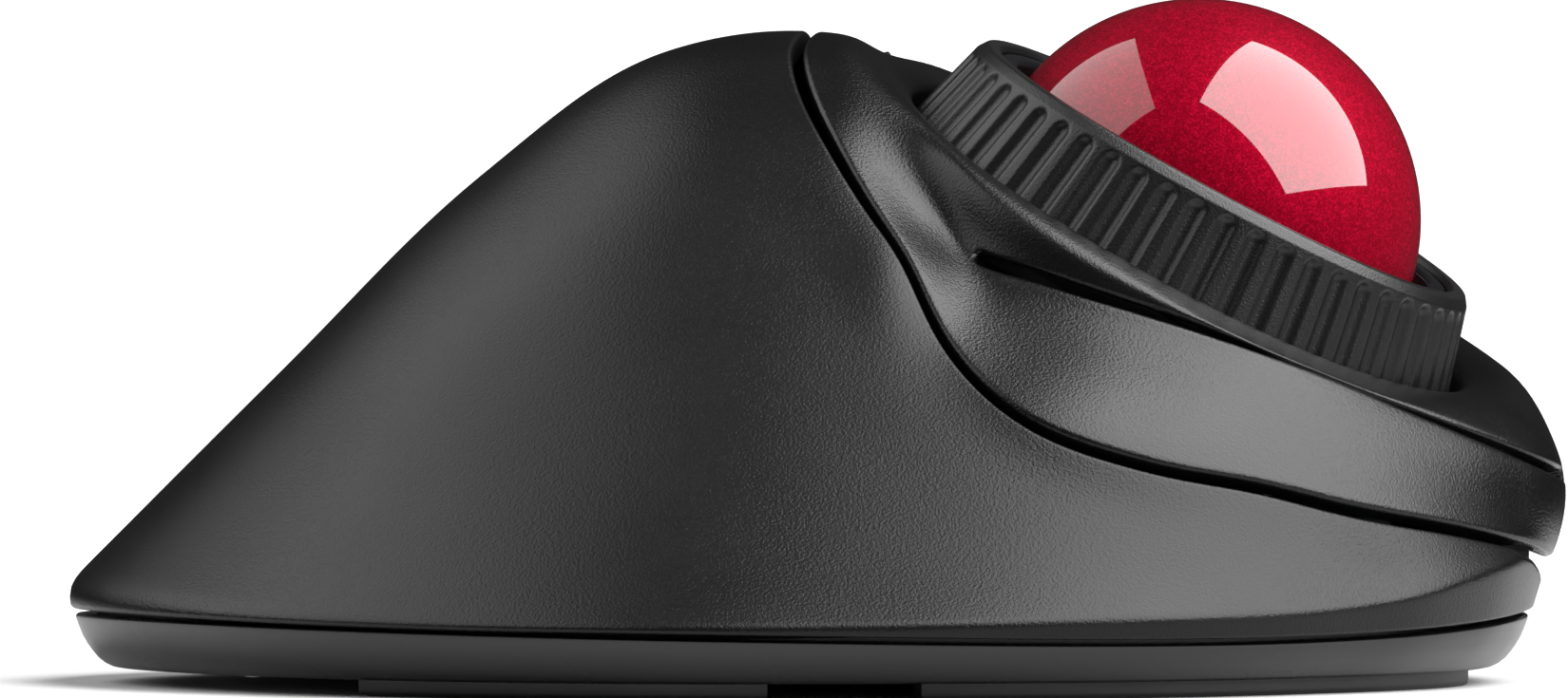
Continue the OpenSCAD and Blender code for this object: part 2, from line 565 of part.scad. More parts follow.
module usb_receiver() {
    color("#202022") {
        box([bay[1][0] - 15.5, -2, floor_top + 0.8], [bay[1][0] - 9.5, 10, floor_top + 6.2]);
        box([bay[1][0] - 9.5, -2, floor_top + 1.2], [bay[1][0] - 0.5, 10, floor_top + 5.7]);
    }
}
module case_screws() {
    color("#9a9da1") for (p = screw_spots) translate([p[0], p[1], 0]) difference() {
        union() {
            translate([0, 0, base_z + 1]) cylinder(r = 1, h = p[0] < 0 ? 11 : 9, $fn = 24);
            translate([0, 0, base_z - 0.2]) cylinder(r = 2, h = 1.2, $fn = 32);
        }
        translate([-1, -0.3, 0]) cube([2, 0.6, base_z + 0.3]);
        translate([-0.3, -1, 0]) cube([0.6, 2, base_z + 0.3]);
    }
}

palm_shell();
front_cover();
right_button();
left_button();
base();
battery_door();
rear_right_foot();
front_right_foot();
rear_left_foot();
front_left_foot();
scroll_ring();
ring_code_wheel();
ring_glide();
ring_sensor();
socket_bezel();
ball();
ball_socket();
support_balls();
sensor_lens();
sensor_chip();
sensor_board();
main_board();
radio_chip();
right_switch();
left_switch();
right_plunger();
left_plunger();
forward_button();
back_button();
dpi_button();
thumb_board();
thumb_switches();
dpi_switch();
power_slider();
power_switch();
battery();
battery_spring();
battery_contact();
usb_receiver();
case_screws();
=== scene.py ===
"""Trackball mouse: the looks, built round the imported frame. Lengths named here are in millimetres."""
import math

import bmesh
import bpy
import numpy as np
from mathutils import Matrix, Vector
from mathutils.kdtree import KDTree


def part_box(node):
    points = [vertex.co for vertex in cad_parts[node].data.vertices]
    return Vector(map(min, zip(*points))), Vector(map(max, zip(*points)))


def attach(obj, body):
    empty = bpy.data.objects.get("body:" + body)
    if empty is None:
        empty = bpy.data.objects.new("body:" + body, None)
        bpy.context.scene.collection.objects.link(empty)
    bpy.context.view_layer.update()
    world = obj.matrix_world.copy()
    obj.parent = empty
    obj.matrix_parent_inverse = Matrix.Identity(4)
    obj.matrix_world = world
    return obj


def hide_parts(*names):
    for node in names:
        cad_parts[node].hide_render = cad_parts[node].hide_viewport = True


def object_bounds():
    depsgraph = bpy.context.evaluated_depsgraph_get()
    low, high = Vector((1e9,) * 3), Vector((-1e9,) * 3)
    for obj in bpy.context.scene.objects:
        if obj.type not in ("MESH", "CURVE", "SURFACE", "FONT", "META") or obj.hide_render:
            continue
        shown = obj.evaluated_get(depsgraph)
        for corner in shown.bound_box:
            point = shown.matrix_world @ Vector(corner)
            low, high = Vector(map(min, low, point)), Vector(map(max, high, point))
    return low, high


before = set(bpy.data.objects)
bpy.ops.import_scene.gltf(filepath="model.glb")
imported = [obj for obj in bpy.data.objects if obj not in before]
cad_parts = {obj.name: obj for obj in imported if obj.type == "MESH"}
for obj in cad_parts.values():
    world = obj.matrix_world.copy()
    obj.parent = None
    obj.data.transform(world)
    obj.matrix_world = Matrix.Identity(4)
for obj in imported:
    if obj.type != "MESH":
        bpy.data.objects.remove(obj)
CAD_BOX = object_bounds()

MM = 0.001


# ---------------------------------------------------------------- places taken from the frame
def middle_mm(node):
    low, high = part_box(node)
    return (np.array(low) + np.array(high)) / 2 / MM


def unit(v):
    v = np.asarray(v, float)
    return v / np.linalg.norm(v)


BALL_C = middle_mm("ball")
BALL_R = (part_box("ball")[1][0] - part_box("ball")[0][0]) / 2 / MM
HUB = BALL_C[:2] + np.array([-0.5, 0.0])
BASE_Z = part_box("base")[0][2] / MM
FLOOR_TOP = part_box("battery_door")[1][2] / MM


RING_PITCH = 28
RING_ROLL = 8


def ring_frame():
    """Columns: the ring's own X, Y and axis, as the part's two tilts leave them."""
    pitch = math.radians(RING_PITCH)
    roll = math.radians(RING_ROLL)
    c, s = math.cos(roll), math.sin(roll)
    tilt_x = np.array([[1, 0, 0], [0, c, -s], [0, s, c]])
    c, s = math.cos(pitch), math.sin(pitch)
    tilt_y = np.array([[c, 0, s], [0, 1, 0], [-s, 0, c]])
    return tilt_y @ tilt_x


RING = ring_frame()


def tilted(p):
    """Points of the ring frame, counted from the ball's centre, in the part's frame."""
    return BALL_C + np.asarray(p) @ RING.T


# ---------------------------------------------------------------- the outer skin
# Rows of the control net, from the ring's lip down to the crease: [angle from the front, radius
# round the hub, height]; the first two are in the ring frame.
LIP = [[-180, 28, -2], [-90, 28, -3.2], [0, 28, -1.8], [90, 28, 0]]
SHOULDER = [[-180, 31, -0.6], [-150, 31, -1.6], [-120, 31, -3.6], [-90, 31, -4.2], [-60, 31, -3.8],
            [-30, 31, -1.6], [0, 31, 0.2], [45, 31, 0.4], [90, 31.5, -0.6], [130, 31.5, -0.4], [155, 31, 0.2]]
SLIT = [[-180, 30, 58], [-150, 33, 50.3], [-138, 32.6, 43], [-132, 32.5, 38.9], [-127, 32.4, 37.5],
        [-120, 32.2, 36.5], [-110, 31.7, 34.8], [-95, 30.6, 32.3], [-75, 29.8, 28.8], [-54, 29.8, 25],
        [-33, 31.4, 21.5], [-14, 33.4, 19],
        [0, 33.3, 18.6], [14, 33.4, 19.2], [33, 31.6, 22.4], [54, 30.4, 26.6], [75, 31, 31.2],
        [95, 32.5, 36], [115, 34, 41], [135, 33, 47.5], [158, 31, 55]]
GROOVE = [[-180, 34.5, 58.6], [-168, 36.5, 56.2], [-160, 37.3, 53], [-148, 38.3, 47.6],
          [-138, 39, 41.7], [-131, 39.8, 37.5], [-125, 41.4, 31.7], [-119, 43, 27.5], [-112, 44.2, 23.8],
          [-98, 42.6, 19.8], [-85, 39.5, 18], [-72, 36.8, 16], [-50, 34, 14], [-31, 33, 12.4],
          [-15, 32.4, 11], [0, 31.6, 10.6], [15, 32.4, 11], [31, 33, 12.6], [50, 34, 15.5],
          [75, 36, 20.5], [98, 39, 27], [112, 40, 33], [125, 38.5, 41], [140, 36, 49], [160, 34.5, 56]]
FLANK_HIGH = [[-180, 48, 56.7], [-160, 47, 50], [-140, 46, 37.5], [-120, 47, 24], [-98, 44.4, 16.6],
              [-72, 37.6, 13.8], [-50, 34.7, 12.6], [-31, 33.1, 12.1], [-15, 32.2, 10.6], [0, 31.4, 10.2],
              [15, 32.2, 10.6], [31, 33.1, 12.3], [50, 34.4, 14], [75, 36.6, 17.4], [98, 39.6, 22],
              [120, 41.5, 31], [140, 44, 44.5], [160, 46.5, 53]]
FLANK_MID = [[-180, 64, 45.8], [-160, 61, 40.5], [-140, 56, 28.8], [-120, 52.5, 18],
             [-98, 46.8, 13.2], [-72, 38.4, 11.6], [-50, 35.2, 11.5], [-31, 33.3, 11.8], [-15, 32, 10.2],
             [0, 31.3, 9.8], [15, 32, 10.2], [31, 33.2, 12], [50, 34.7, 12.6], [75, 37.5, 14], [98, 41, 17],
             [120, 44, 23], [140, 51.5, 33.5], [160, 60, 42.5]]
FLANK_LOW = [[-180, 82, 28.2], [-160, 77, 24], [-140, 68, 17.2], [-120, 58.5, 11.8],
             [-98, 49.4, 9.8], [-72, 39.2, 9.6], [-50, 35.5, 10.6], [-31, 33.5, 11.6], [-15, 31.9, 9.8],
             [0, 31.2, 9.4], [15, 31.9, 9.8], [31, 33.3, 11.8], [50, 34.9, 11.2], [75, 39, 10.6],
             [98, 44, 11.6], [120, 48.5, 14], [140, 61, 19.5], [160, 75, 25.5]]
CREASE = [[-180, 101.6, 8.6], [-160, 93.5, 7.2], [-150, 88, 6.6], [-140, 81, 6.2], [-130, 73.5, 6.2],
          [-120, 65, 6.3], [-110, 58.5, 6.5], [-98, 52, 6.8], [-85, 45.5, 7], [-72, 40.5, 7.6],
          [-60, 37.8, 8.6], [-50, 36, 9.8], [-40, 34.7, 10.8], [-31, 33.6, 11.4], [-22, 32.4, 10.4],
          [-12, 31.5, 9.4], [0, 31.1, 9], [12, 31.5, 9.4], [22, 32.4, 10.4], [31, 33.4, 11.4],
          [50, 35.2, 9.8], [65, 38, 8.2], [82, 42.5, 7], [98, 48, 6.8], [110, 51.5, 6.6],
          [120, 55.5, 6.5], [130, 62.5, 6.5], [140, 72.5, 6.7], [150, 82, 7], [160, 91, 7.4]]
SLIT_ROW = 2
GROOVE_ROW = 3
CREASE_ROW = 7
BAND_LEAN = 0.3
HALF_GAP = 0.5
FLAP_BACK = 128.0
FLAP_FRONT = 6.5
SPINE = 4.0
LIP_ANGLE = 33.0
WELL_R = 28.0
WELL_FOOT = -8.0
SHELL_WALL = 1.7
PALM_WALL = 2.0


def slopes(t, v):
    """Three-point slopes at knots t of the values v, along the first axis."""
    h = np.diff(t, axis=0)
    d = np.diff(v, axis=0) / h
    m = np.empty_like(v)
    m[1:-1] = (d[:-1] * h[1:] + d[1:] * h[:-1]) / (h[:-1] + h[1:])
    m[0] = d[0]
    m[-1] = d[-1]
    return m


def hermite(p0, p1, m0, m1, h, u):
    return ((2 * u**3 - 3 * u**2 + 1) * p0 + (u**3 - 2 * u**2 + u) * h * m0
            + (3 * u**2 - 2 * u**3) * p1 + (u**3 - u**2) * h * m1)


def closed_curve(knots, angles):
    """Values of a closed row at angles in degrees, by cubic Hermite pieces."""
    k = np.array(knots, float)
    t = np.concatenate([k[-2:, 0] - 360, k[:, 0], k[:2, 0] + 360])[:, None]
    v = np.concatenate([k[-2:, 1:], k[:, 1:], k[:2, 1:]])
    m = slopes(t, v)
    a = (np.asarray(angles, float) + 180) % 360 - 180
    i = np.clip(np.searchsorted(t[:, 0], a, side="right") - 1, 0, len(t) - 2)
    h = t[i + 1] - t[i]
    return hermite(v[i], v[i + 1], m[i], m[i + 1], h, (a[:, None] - t[i]) / h)


SOFT_STEP = 0.25
SOFT_ANGLES = np.arange(-180, 180, SOFT_STEP)


def smooth_row(knots, spread=2.2):
    """The row evened out along its angle, so that reflections run smoothly over the knots."""
    v = closed_curve(knots, SOFT_ANGLES)
    reach = int(4 * spread / SOFT_STEP)
    w = np.exp(-0.5 * (np.arange(-reach, reach + 1) * SOFT_STEP / spread) ** 2)
    w /= w.sum()
    wrapped = np.concatenate([v[-reach:], v, v[:reach]])
    return np.stack([np.convolve(wrapped[:, c], w, mode="valid") for c in range(v.shape[1])], axis=1)


SMOOTH_ROWS = [smooth_row(k) for k in (LIP, SHOULDER, SLIT, GROOVE, FLANK_HIGH, FLANK_MID, FLANK_LOW, CREASE)]


def row_values(index, angles):
    a = (np.asarray(angles, float) + 180) % 360 / SOFT_STEP
    i = np.floor(a).astype(int)
    f = (a - i)[:, None]
    table = SMOOTH_ROWS[index]
    n = len(table)
    return table[i % n] * (1 - f) + table[(i + 1) % n] * f


def net_points(angles):
    """The net's points at each angle, as [angle, row, xyz]."""
    rad = np.radians(angles)
    ring_dir = np.stack([np.cos(rad), np.sin(rad)], axis=1)
    rows = []
    for index in range(8):
        v = row_values(index, angles)
        if index < SLIT_ROW:
            rows.append(tilted(np.column_stack([ring_dir * v[:, :1], v[:, 1]])))
        else:
            rows.append(np.column_stack([HUB + ring_dir * v[:, :1], v[:, 1]]))
    return np.stack(rows, axis=1)


PROFILE_SAMPLES = 420


class Skin:
    """The skin at a list of angles: one smooth profile per angle, by length from the lip."""

    def __init__(self, angles, spread=1.3):
        self.angles = np.asarray(angles, float)
        net = net_points(self.angles)
        steps = np.linalg.norm(np.diff(net, axis=1), axis=2)
        self.rows = np.concatenate([np.zeros((len(net), 1)), np.cumsum(steps, axis=1)], axis=1)
        self.total = self.rows[:, -1]
        self.points = np.stack([self._profile(net[i], self.rows[i], spread) for i in range(len(net))])

    @staticmethod
    def _profile(p, s, spread):
        t = s[:, None]
        m = slopes(t, p)
        q = np.linspace(0, s[-1], PROFILE_SAMPLES)
        i = np.clip(np.searchsorted(s, q, side="right") - 1, 0, len(s) - 2)
        h = (s[i + 1] - s[i])[:, None]
        dense = hermite(p[i], p[i + 1], m[i], m[i + 1], h, (q[:, None] - t[i]) / h)
        step = q[1] - q[0]
        reach = min(int(3.5 * spread / step) + 1, PROFILE_SAMPLES - 2)
        w = np.exp(-0.5 * (np.arange(-reach, reach + 1) * step / spread) ** 2)
        w /= w.sum()
        before = 2 * dense[0] - dense[reach:0:-1]
        after = 2 * dense[-1] - dense[-2:-reach - 2:-1]
        padded = np.concatenate([before, dense, after])
        return np.stack([np.convolve(padded[:, c], w, mode="valid") for c in range(3)], axis=1)

    def at(self, s):
        """Points at lengths s, as [angle, sample, xyz]. s has one row of lengths per angle."""
        out = np.empty(s.shape + (3,))
        for i in range(len(self.angles)):
            x = np.linspace(0, self.total[i], PROFILE_SAMPLES)
            for c in range(3):
                out[i, :, c] = np.interp(s[i], x, self.points[i, :, c])
        return out


def crease_points(angles):
    return net_points(angles)[:, CREASE_ROW]


def parting_z(angles):
    return 5.8 + 0.8 * np.cos(2 * np.radians(angles))


def rim_points(angles):
    """The palm shell's lower edge, at the parting line."""
    c = crease_points(angles)
    rad = np.radians(angles)
    back = BAND_LEAN * (c[:, 2] - parting_z(angles))
    return np.column_stack([c[:, 0] - back * np.cos(rad), c[:, 1] - back * np.sin(rad), parting_z(angles)])


def ease(t):
    u = np.clip(t, 0, 1)
    return u * u * (3 - 2 * u)


# ---------------------------------------------------------------- meshes
def link(obj):
    bpy.context.scene.collection.objects.link(obj)
    return obj


def mesh_object(name, verts_mm, faces, sharp_angle=None):
    mesh = bpy.data.meshes.new(name)
    mesh.from_pydata([tuple(v) for v in np.asarray(verts_mm) * MM], [], [tuple(f) for f in faces])
    mesh.validate()
    mesh.update()
    obj = link(bpy.data.objects.new(name, mesh))
    mesh.polygons.foreach_set("use_smooth", [True] * len(mesh.polygons))
    if sharp_angle is not None:
        mesh.set_sharp_from_angle(angle=math.radians(sharp_angle))
    return obj


def grid_faces(columns, rows, loop, keep=None):
    """Quads of a grid stored column by column. keep[column, row] says which quads to make."""
    count = columns if loop else columns - 1
    i, j = np.meshgrid(np.arange(count), np.arange(rows - 1), indexing="ij")
    if keep is not None:
        mask = keep[:count, :rows - 1]
        i = i[mask]
        j = j[mask]
    i = i.ravel()
    j = j.ravel()
    k = (i + 1) % columns
    return np.stack([i * rows + j, i * rows + j + 1, k * rows + j + 1, k * rows + j], axis=1)


def grid_normals(p, loop):
    """Outward normals of a skin grid [column, row, xyz]."""
    if loop:
        da = np.roll(p, -1, axis=0) - np.roll(p, 1, axis=0)
    else:
        da = np.gradient(p, axis=0)
    du = np.gradient(p, axis=1)
    n = np.cross(du, da)
    size = np.linalg.norm(n, axis=2, keepdims=True)
    return n / np.maximum(size, 1e-12)


def rounding(distance, radius):
    """How far the surface lies below its flat level at this distance from a rounded edge."""
    x = np.clip(radius - distance, 0, radius)
    return radius - np.sqrt(np.maximum(radius**2 - x**2, 0))


def boundary_edges(faces):
    """Edges that only one face uses, in the direction that the face runs them."""
    count = {}
    for f in faces:
        n = len(f)
        for e in range(n):
            a = f[e]
            b = f[(e + 1) % n]
            key = (a, b) if a < b else (b, a)
            count[key] = count.get(key, 0) + 1
    edges = []
    for f in faces:
        n = len(f)
        for e in range(n):
            a = f[e]
            b = f[(e + 1) % n]
            if count[(a, b) if a < b else (b, a)] == 1:
                edges.append((a, b))
    return edges


def thick_panel(name, points, normals, faces, wall, radius, square=None, under=0.0):
    """A closed panel from one sheet of skin: rounded along its free edges, and wall thick.

    square flags the points whose free edge isn't rounded; under moves the points of the inner face.
    """
    used = np.unique(faces)
    index = -np.ones(len(points), int)
    index[used] = np.arange(len(used))
    p = points[used]
    n = normals[used]
    f = index[faces].tolist()
    flags = square[used] if square is not None else None
    rim = boundary_edges(f)
    tree = KDTree(len(rim) * 2)
    k = 0
    for a, b in rim:
        if square is not None and flags[a] and flags[b]:
            continue
        tree.insert(Vector(p[a]), k)
        tree.insert(Vector((p[a] + p[b]) / 2), k + 1)
        k += 2
    tree.balance()
    distance = np.array([tree.find(Vector(q))[2] for q in p])
    top = p - n * rounding(distance, radius)[:, None]
    low = p - n * (wall[used][:, None] if isinstance(wall, np.ndarray) else wall)
    low = low + (under[used] if isinstance(under, np.ndarray) else under)
    count = len(p)
    out = [tuple(q) for q in f]
    out += [(q[3] + count, q[2] + count, q[1] + count, q[0] + count) if len(q) == 4
            else tuple(v + count for v in reversed(q)) for q in f]
    out += [(b, a, a + count, b + count) for a, b in rim]
    return mesh_object(name, np.concatenate([top, low]), out, sharp_angle=50)


FINE = np.array([0, 0.03, 0.08, 0.15, 0.24, 0.36, 0.52, 0.72])


def graded(length, step):
    """Fractions from 0 to 1 of a length, with fine steps next to its rounded ends."""
    low = list(FINE)
    high = list(length - FINE[::-1])
    n = max(int(round((high[0] - low[-1]) / step)), 1)
    inner = list(low[-1] + (high[0] - low[-1]) * np.arange(1, n) / n)
    return np.array(low + inner + high) / length


def columns_with(edges, step=0.75, radius=33.0):
    """Angles all round, with an exact column and fine neighbours at each edge angle."""
    near = np.degrees(FINE / radius)
    exact = np.unique(np.round(np.concatenate([np.concatenate([e - near, e + near]) for e in edges]), 4))
    plain = np.arange(-180, 180, step)
    gap = np.min(np.abs(plain[:, None] - exact[None, :]), axis=1)
    return np.unique(np.concatenate([plain[gap > 0.4 * step], exact]))


# ---------------------------------------------------------------- materials
def new_material(name):
    m = bpy.data.materials.new(name)
    m.use_nodes = True
    tree = m.node_tree
    shader = tree.nodes["Principled BSDF"]
    return m, tree, shader


def node(tree, kind, **values):
    n = tree.nodes.new(kind)
    for key, value in values.items():
        setattr(n, key, value)
    return n


def noise(tree, coords, scale, detail=3.0, rough=0.5):
    n = node(tree, "ShaderNodeTexNoise")
    n.inputs["Scale"].default_value = scale
    n.inputs["Detail"].default_value = detail
    n.inputs["Roughness"].default_value = rough
    tree.links.new(coords, n.inputs["Vector"])
    return n


def ramp(tree, value, stops):
    r = node(tree, "ShaderNodeValToRGB")
    el = r.color_ramp.elements
    while len(el) < len(stops):
        el.new(0.5)
    for e, (pos, colour) in zip(el, stops):
        e.position = pos
        e.color = (*colour, 1)
    tree.links.new(value, r.inputs["Fac"])
    return r


def banded(tree, value, low, high):
    """The value's middle band mapped to low..high."""
    m = node(tree, "ShaderNodeMapRange")
    m.inputs["From Min"].default_value = 0.3
    m.inputs["From Max"].default_value = 0.7
    m.inputs["To Min"].default_value = low
    m.inputs["To Max"].default_value = high
    tree.links.new(value, m.inputs["Value"])
    return m.outputs["Result"]


def bump(tree, shader, height, strength, distance):
    b = node(tree, "ShaderNodeBump")
    b.inputs["Strength"].default_value = strength
    b.inputs["Distance"].default_value = distance
    tree.links.new(height, b.inputs["Height"])
    tree.links.new(b.outputs["Normal"], shader.inputs["Normal"])


def object_coords(tree):
    return node(tree, "ShaderNodeTexCoord").outputs["Object"]


def grained_plastic(name, colour, low_rough, high_rough, grain, strength, specular=0.5):
    """Moulded plastic with a spark-eroded grain: tiny soft pits, a little uneven in gloss."""
    m, tree, shader = new_material(name)
    where = object_coords(tree)
    pits = noise(tree, where, 1 / (grain * MM), 2.0, 0.55)
    patches = noise(tree, where, 60, 4.0, 0.6)
    dark = tuple(c * 0.86 for c in colour)
    tint = ramp(tree, pits.outputs["Fac"], [(0.3, dark), (0.7, colour)])
    tree.links.new(tint.outputs["Color"], shader.inputs["Base Color"])
    tree.links.new(banded(tree, patches.outputs["Fac"], low_rough, high_rough), shader.inputs["Roughness"])
    shader.inputs["Specular IOR Level"].default_value = specular
    bump(tree, shader, pits.outputs["Fac"], strength, grain * MM * 0.5)
    return m


def satin_plastic(name, colour, rough, specular=0.5):
    m, tree, shader = new_material(name)
    where = object_coords(tree)
    fine = noise(tree, where, 1 / (0.5 * MM), 3.0, 0.6)
    patches = noise(tree, where, 45, 3.0, 0.5)
    tint = ramp(tree, patches.outputs["Fac"], [(0.3, tuple(c * 0.92 for c in colour)), (0.7, colour)])
    tree.links.new(tint.outputs["Color"], shader.inputs["Base Color"])
    gloss = banded(tree, patches.outputs["Fac"], rough - 0.04, rough + 0.05)
    tree.links.new(gloss, shader.inputs["Roughness"])
    shader.inputs["Specular IOR Level"].default_value = specular
    bump(tree, shader, fine.outputs["Fac"], 0.12, 0.00008)
    return m


def pearl_red(name):
    """Red pearl paint with fine bright flakes under a clear gloss coat."""
    m, tree, shader = new_material(name)
    where = object_coords(tree)
    cells = node(tree, "ShaderNodeTexVoronoi")
    cells.inputs["Scale"].default_value = 1 / (0.15 * MM)
    tree.links.new(where, cells.inputs["Vector"])
    clouds = noise(tree, where, 1 / (0.9 * MM), 4.0, 0.65)
    flakes = ramp(tree, cells.outputs["Color"], [(0.3, (0.15, 0.0004, 0.007)), (0.6, (0.2, 0.0006, 0.01)),
                                                (0.9, (0.3, 0.002, 0.018))])
    deep = ramp(tree, clouds.outputs["Fac"], [(0.35, (0.8, 0.8, 0.8)), (0.65, (1, 1, 1))])
    mix = node(tree, "ShaderNodeMix", data_type="RGBA", blend_type="MULTIPLY")
    mix.inputs["Factor"].default_value = 1.0
    tree.links.new(flakes.outputs["Color"], mix.inputs["A"])
    tree.links.new(deep.outputs["Color"], mix.inputs["B"])
    tree.links.new(mix.outputs["Result"], shader.inputs["Base Color"])
    shader.inputs["Metallic"].default_value = 0.3
    shader.inputs["Specular IOR Level"].default_value = 0.0
    tree.links.new(banded(tree, clouds.outputs["Fac"], 0.42, 0.56), shader.inputs["Roughness"])
    shader.inputs["Coat Weight"].default_value = 1.0
    shader.inputs["Coat Roughness"].default_value = 0.03
    shader.inputs["Coat IOR"].default_value = 1.5
    bump(tree, shader, cells.outputs["Distance"], 0.05, 0.00002)
    return m


def metal(name, colour, rough):
    m, tree, shader = new_material(name)
    where = object_coords(tree)
    marks = noise(tree, where, 1 / (0.4 * MM), 4.0, 0.6)
    shader.inputs["Base Color"].default_value = (*colour, 1)
    shader.inputs["Metallic"].default_value = 1.0
    tree.links.new(banded(tree, marks.outputs["Fac"], rough - 0.06, rough + 0.1), shader.inputs["Roughness"])
    bump(tree, shader, marks.outputs["Fac"], 0.15, 0.00003)
    return m


def circuit_board(name):
    """Green solder mask with copper tracks showing through it."""
    m, tree, shader = new_material(name)
    where = object_coords(tree)
    tracks = node(tree, "ShaderNodeTexBrick")
    tracks.inputs["Scale"].default_value = 300
    tracks.inputs["Mortar Size"].default_value = 0.06
    tracks.inputs["Color1"].default_value = (0.012, 0.1, 0.04, 1)
    tracks.inputs["Color2"].default_value = (0.015, 0.12, 0.05, 1)
    tracks.inputs["Mortar"].default_value = (0.05, 0.26, 0.11, 1)
    tree.links.new(where, tracks.inputs["Vector"])
    tree.links.new(tracks.outputs["Color"], shader.inputs["Base Color"])
    shader.inputs["Roughness"].default_value = 0.32
    bump(tree, shader, tracks.outputs["Fac"], 0.2, 0.00004)
    return m


def clear_lens(name):
    m, tree, shader = new_material(name)
    where = object_coords(tree)
    ripples = noise(tree, where, 400, 2.0, 0.5)
    shader.inputs["Base Color"].default_value = (0.8, 0.92, 0.95, 1)
    shader.inputs["Roughness"].default_value = 0.05
    shader.inputs["Transmission Weight"].default_value = 1.0
    bump(tree, shader, ripples.outputs["Fac"], 0.05, 0.00002)
    return m


MATERIALS = {
    "palm_plastic": grained_plastic("palm_plastic", (0.0026, 0.0026, 0.0027), 0.29, 0.35, 0.25, 0.42, 0.2),
    "cover_plastic": grained_plastic("cover_plastic", (0.0024, 0.0024, 0.0025), 0.26, 0.32, 0.25, 0.42, 0.25),
    "base_plastic": satin_plastic("base_plastic", (0.003, 0.003, 0.0032), 0.28, 0.45),
    "skid_tape": satin_plastic("skid_tape", (0.004, 0.004, 0.0042), 0.45),
    "ring_rubber": grained_plastic("ring_rubber", (0.003, 0.003, 0.0032), 0.32, 0.4, 0.2, 0.4, 0.36),
    "bezel_plastic": satin_plastic("bezel_plastic", (0.006, 0.006, 0.007), 0.18),
    "ball_red": pearl_red("ball_red"),
    "inner_plastic": satin_plastic("inner_plastic", (0.012, 0.012, 0.013), 0.5),
    "white_plastic": satin_plastic("white_plastic", (0.72, 0.72, 0.7), 0.4),
    "ceramic_white": satin_plastic("ceramic_white", (0.85, 0.85, 0.83), 0.12),
    "lens_clear": clear_lens("lens_clear"),
    "chip_black": satin_plastic("chip_black", (0.014, 0.014, 0.015), 0.45),
    "board_green": circuit_board("board_green"),
    "bright_steel": metal("bright_steel", (0.62, 0.63, 0.64), 0.28),
    "cell_wrap": satin_plastic("cell_wrap", (0.42, 0.28, 0.06), 0.3),
}


def finish_piece(obj, slot, body, *nodes):
    """Gives a piece its material and its body, and hides the CAD nodes that it stands for."""
    obj.data.materials.clear()
    obj.data.materials.append(MATERIALS[slot])
    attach(obj, body)
    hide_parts(*nodes)


# ---------------------------------------------------------------- lines down the skin
def profile_at(skin, i, s):
    x = np.linspace(0, skin.total[i], PROFILE_SAMPLES)
    return np.stack([np.interp(s, x, skin.points[i, :, c]) for c in range(3)], axis=1)


def arc_length(line):
    return np.concatenate([[0], np.cumsum(np.linalg.norm(np.diff(line, axis=0), axis=1))])


def resample(line, lengths):
    s = arc_length(line)
    return np.stack([np.interp(lengths, s, line[:, c]) for c in range(3)], axis=1)


def soften(line, spread, step=0.12):
    """Rounds the corners of a polyline; its two ends stay where they are."""
    length = arc_length(line)[-1]
    n = max(int(length / step), 24)
    even = resample(line, np.linspace(0, length, n))
    ds = length / (n - 1)
    reach = min(int(3.5 * spread / ds) + 1, n - 2)
    w = np.exp(-0.5 * (np.arange(-reach, reach + 1) * ds / spread) ** 2)
    w /= w.sum()
    padded = np.concatenate([2 * even[0] - even[reach:0:-1], even, 2 * even[-1] - even[-2:-reach - 2:-1]])
    return np.stack([np.convolve(padded[:, c], w, mode="valid") for c in range(3)], axis=1)


def segments_grid(lines, parts):
    """Rows at matching places of every line. parts gives, for each stretch of the rows, its fractions
    and the length that it takes on each line; the last stretch takes what is left."""
    out = []
    for i, line in enumerate(lines):
        total = arc_length(line)[-1]
        s = [0.0]
        at = 0.0
        for k, (fractions, lengths) in enumerate(parts):
            span = total - at if k == len(parts) - 1 else lengths[i]
            s.extend(at + span * fractions[1:])
            at += span
        out.append(resample(line, np.array(s)))
    return np.stack(out)


# ---------------------------------------------------------------- shells
# Thumb and resolution buttons: [first angle, last angle, row, start, length]
FORWARD = (101, 116, GROOVE_ROW, 3, 6)
BACK = (119, 135, GROOVE_ROW, 3, 6)
DPI = (152, 164, SLIT_ROW, -2.2, 4.2)
PATCH_GAP = 0.4
PATCH_TURN = PATCH_GAP * 1.45
PATCH_PROUD = 0.7
PATCH_R = 42


def inside_patch(mid, patch):
    return (mid > patch[0] - PATCH_TURN) & (mid < patch[1] + PATCH_TURN)


def middles(angles):
    return angles + (np.roll(angles, -1) - angles) % 360 / 2


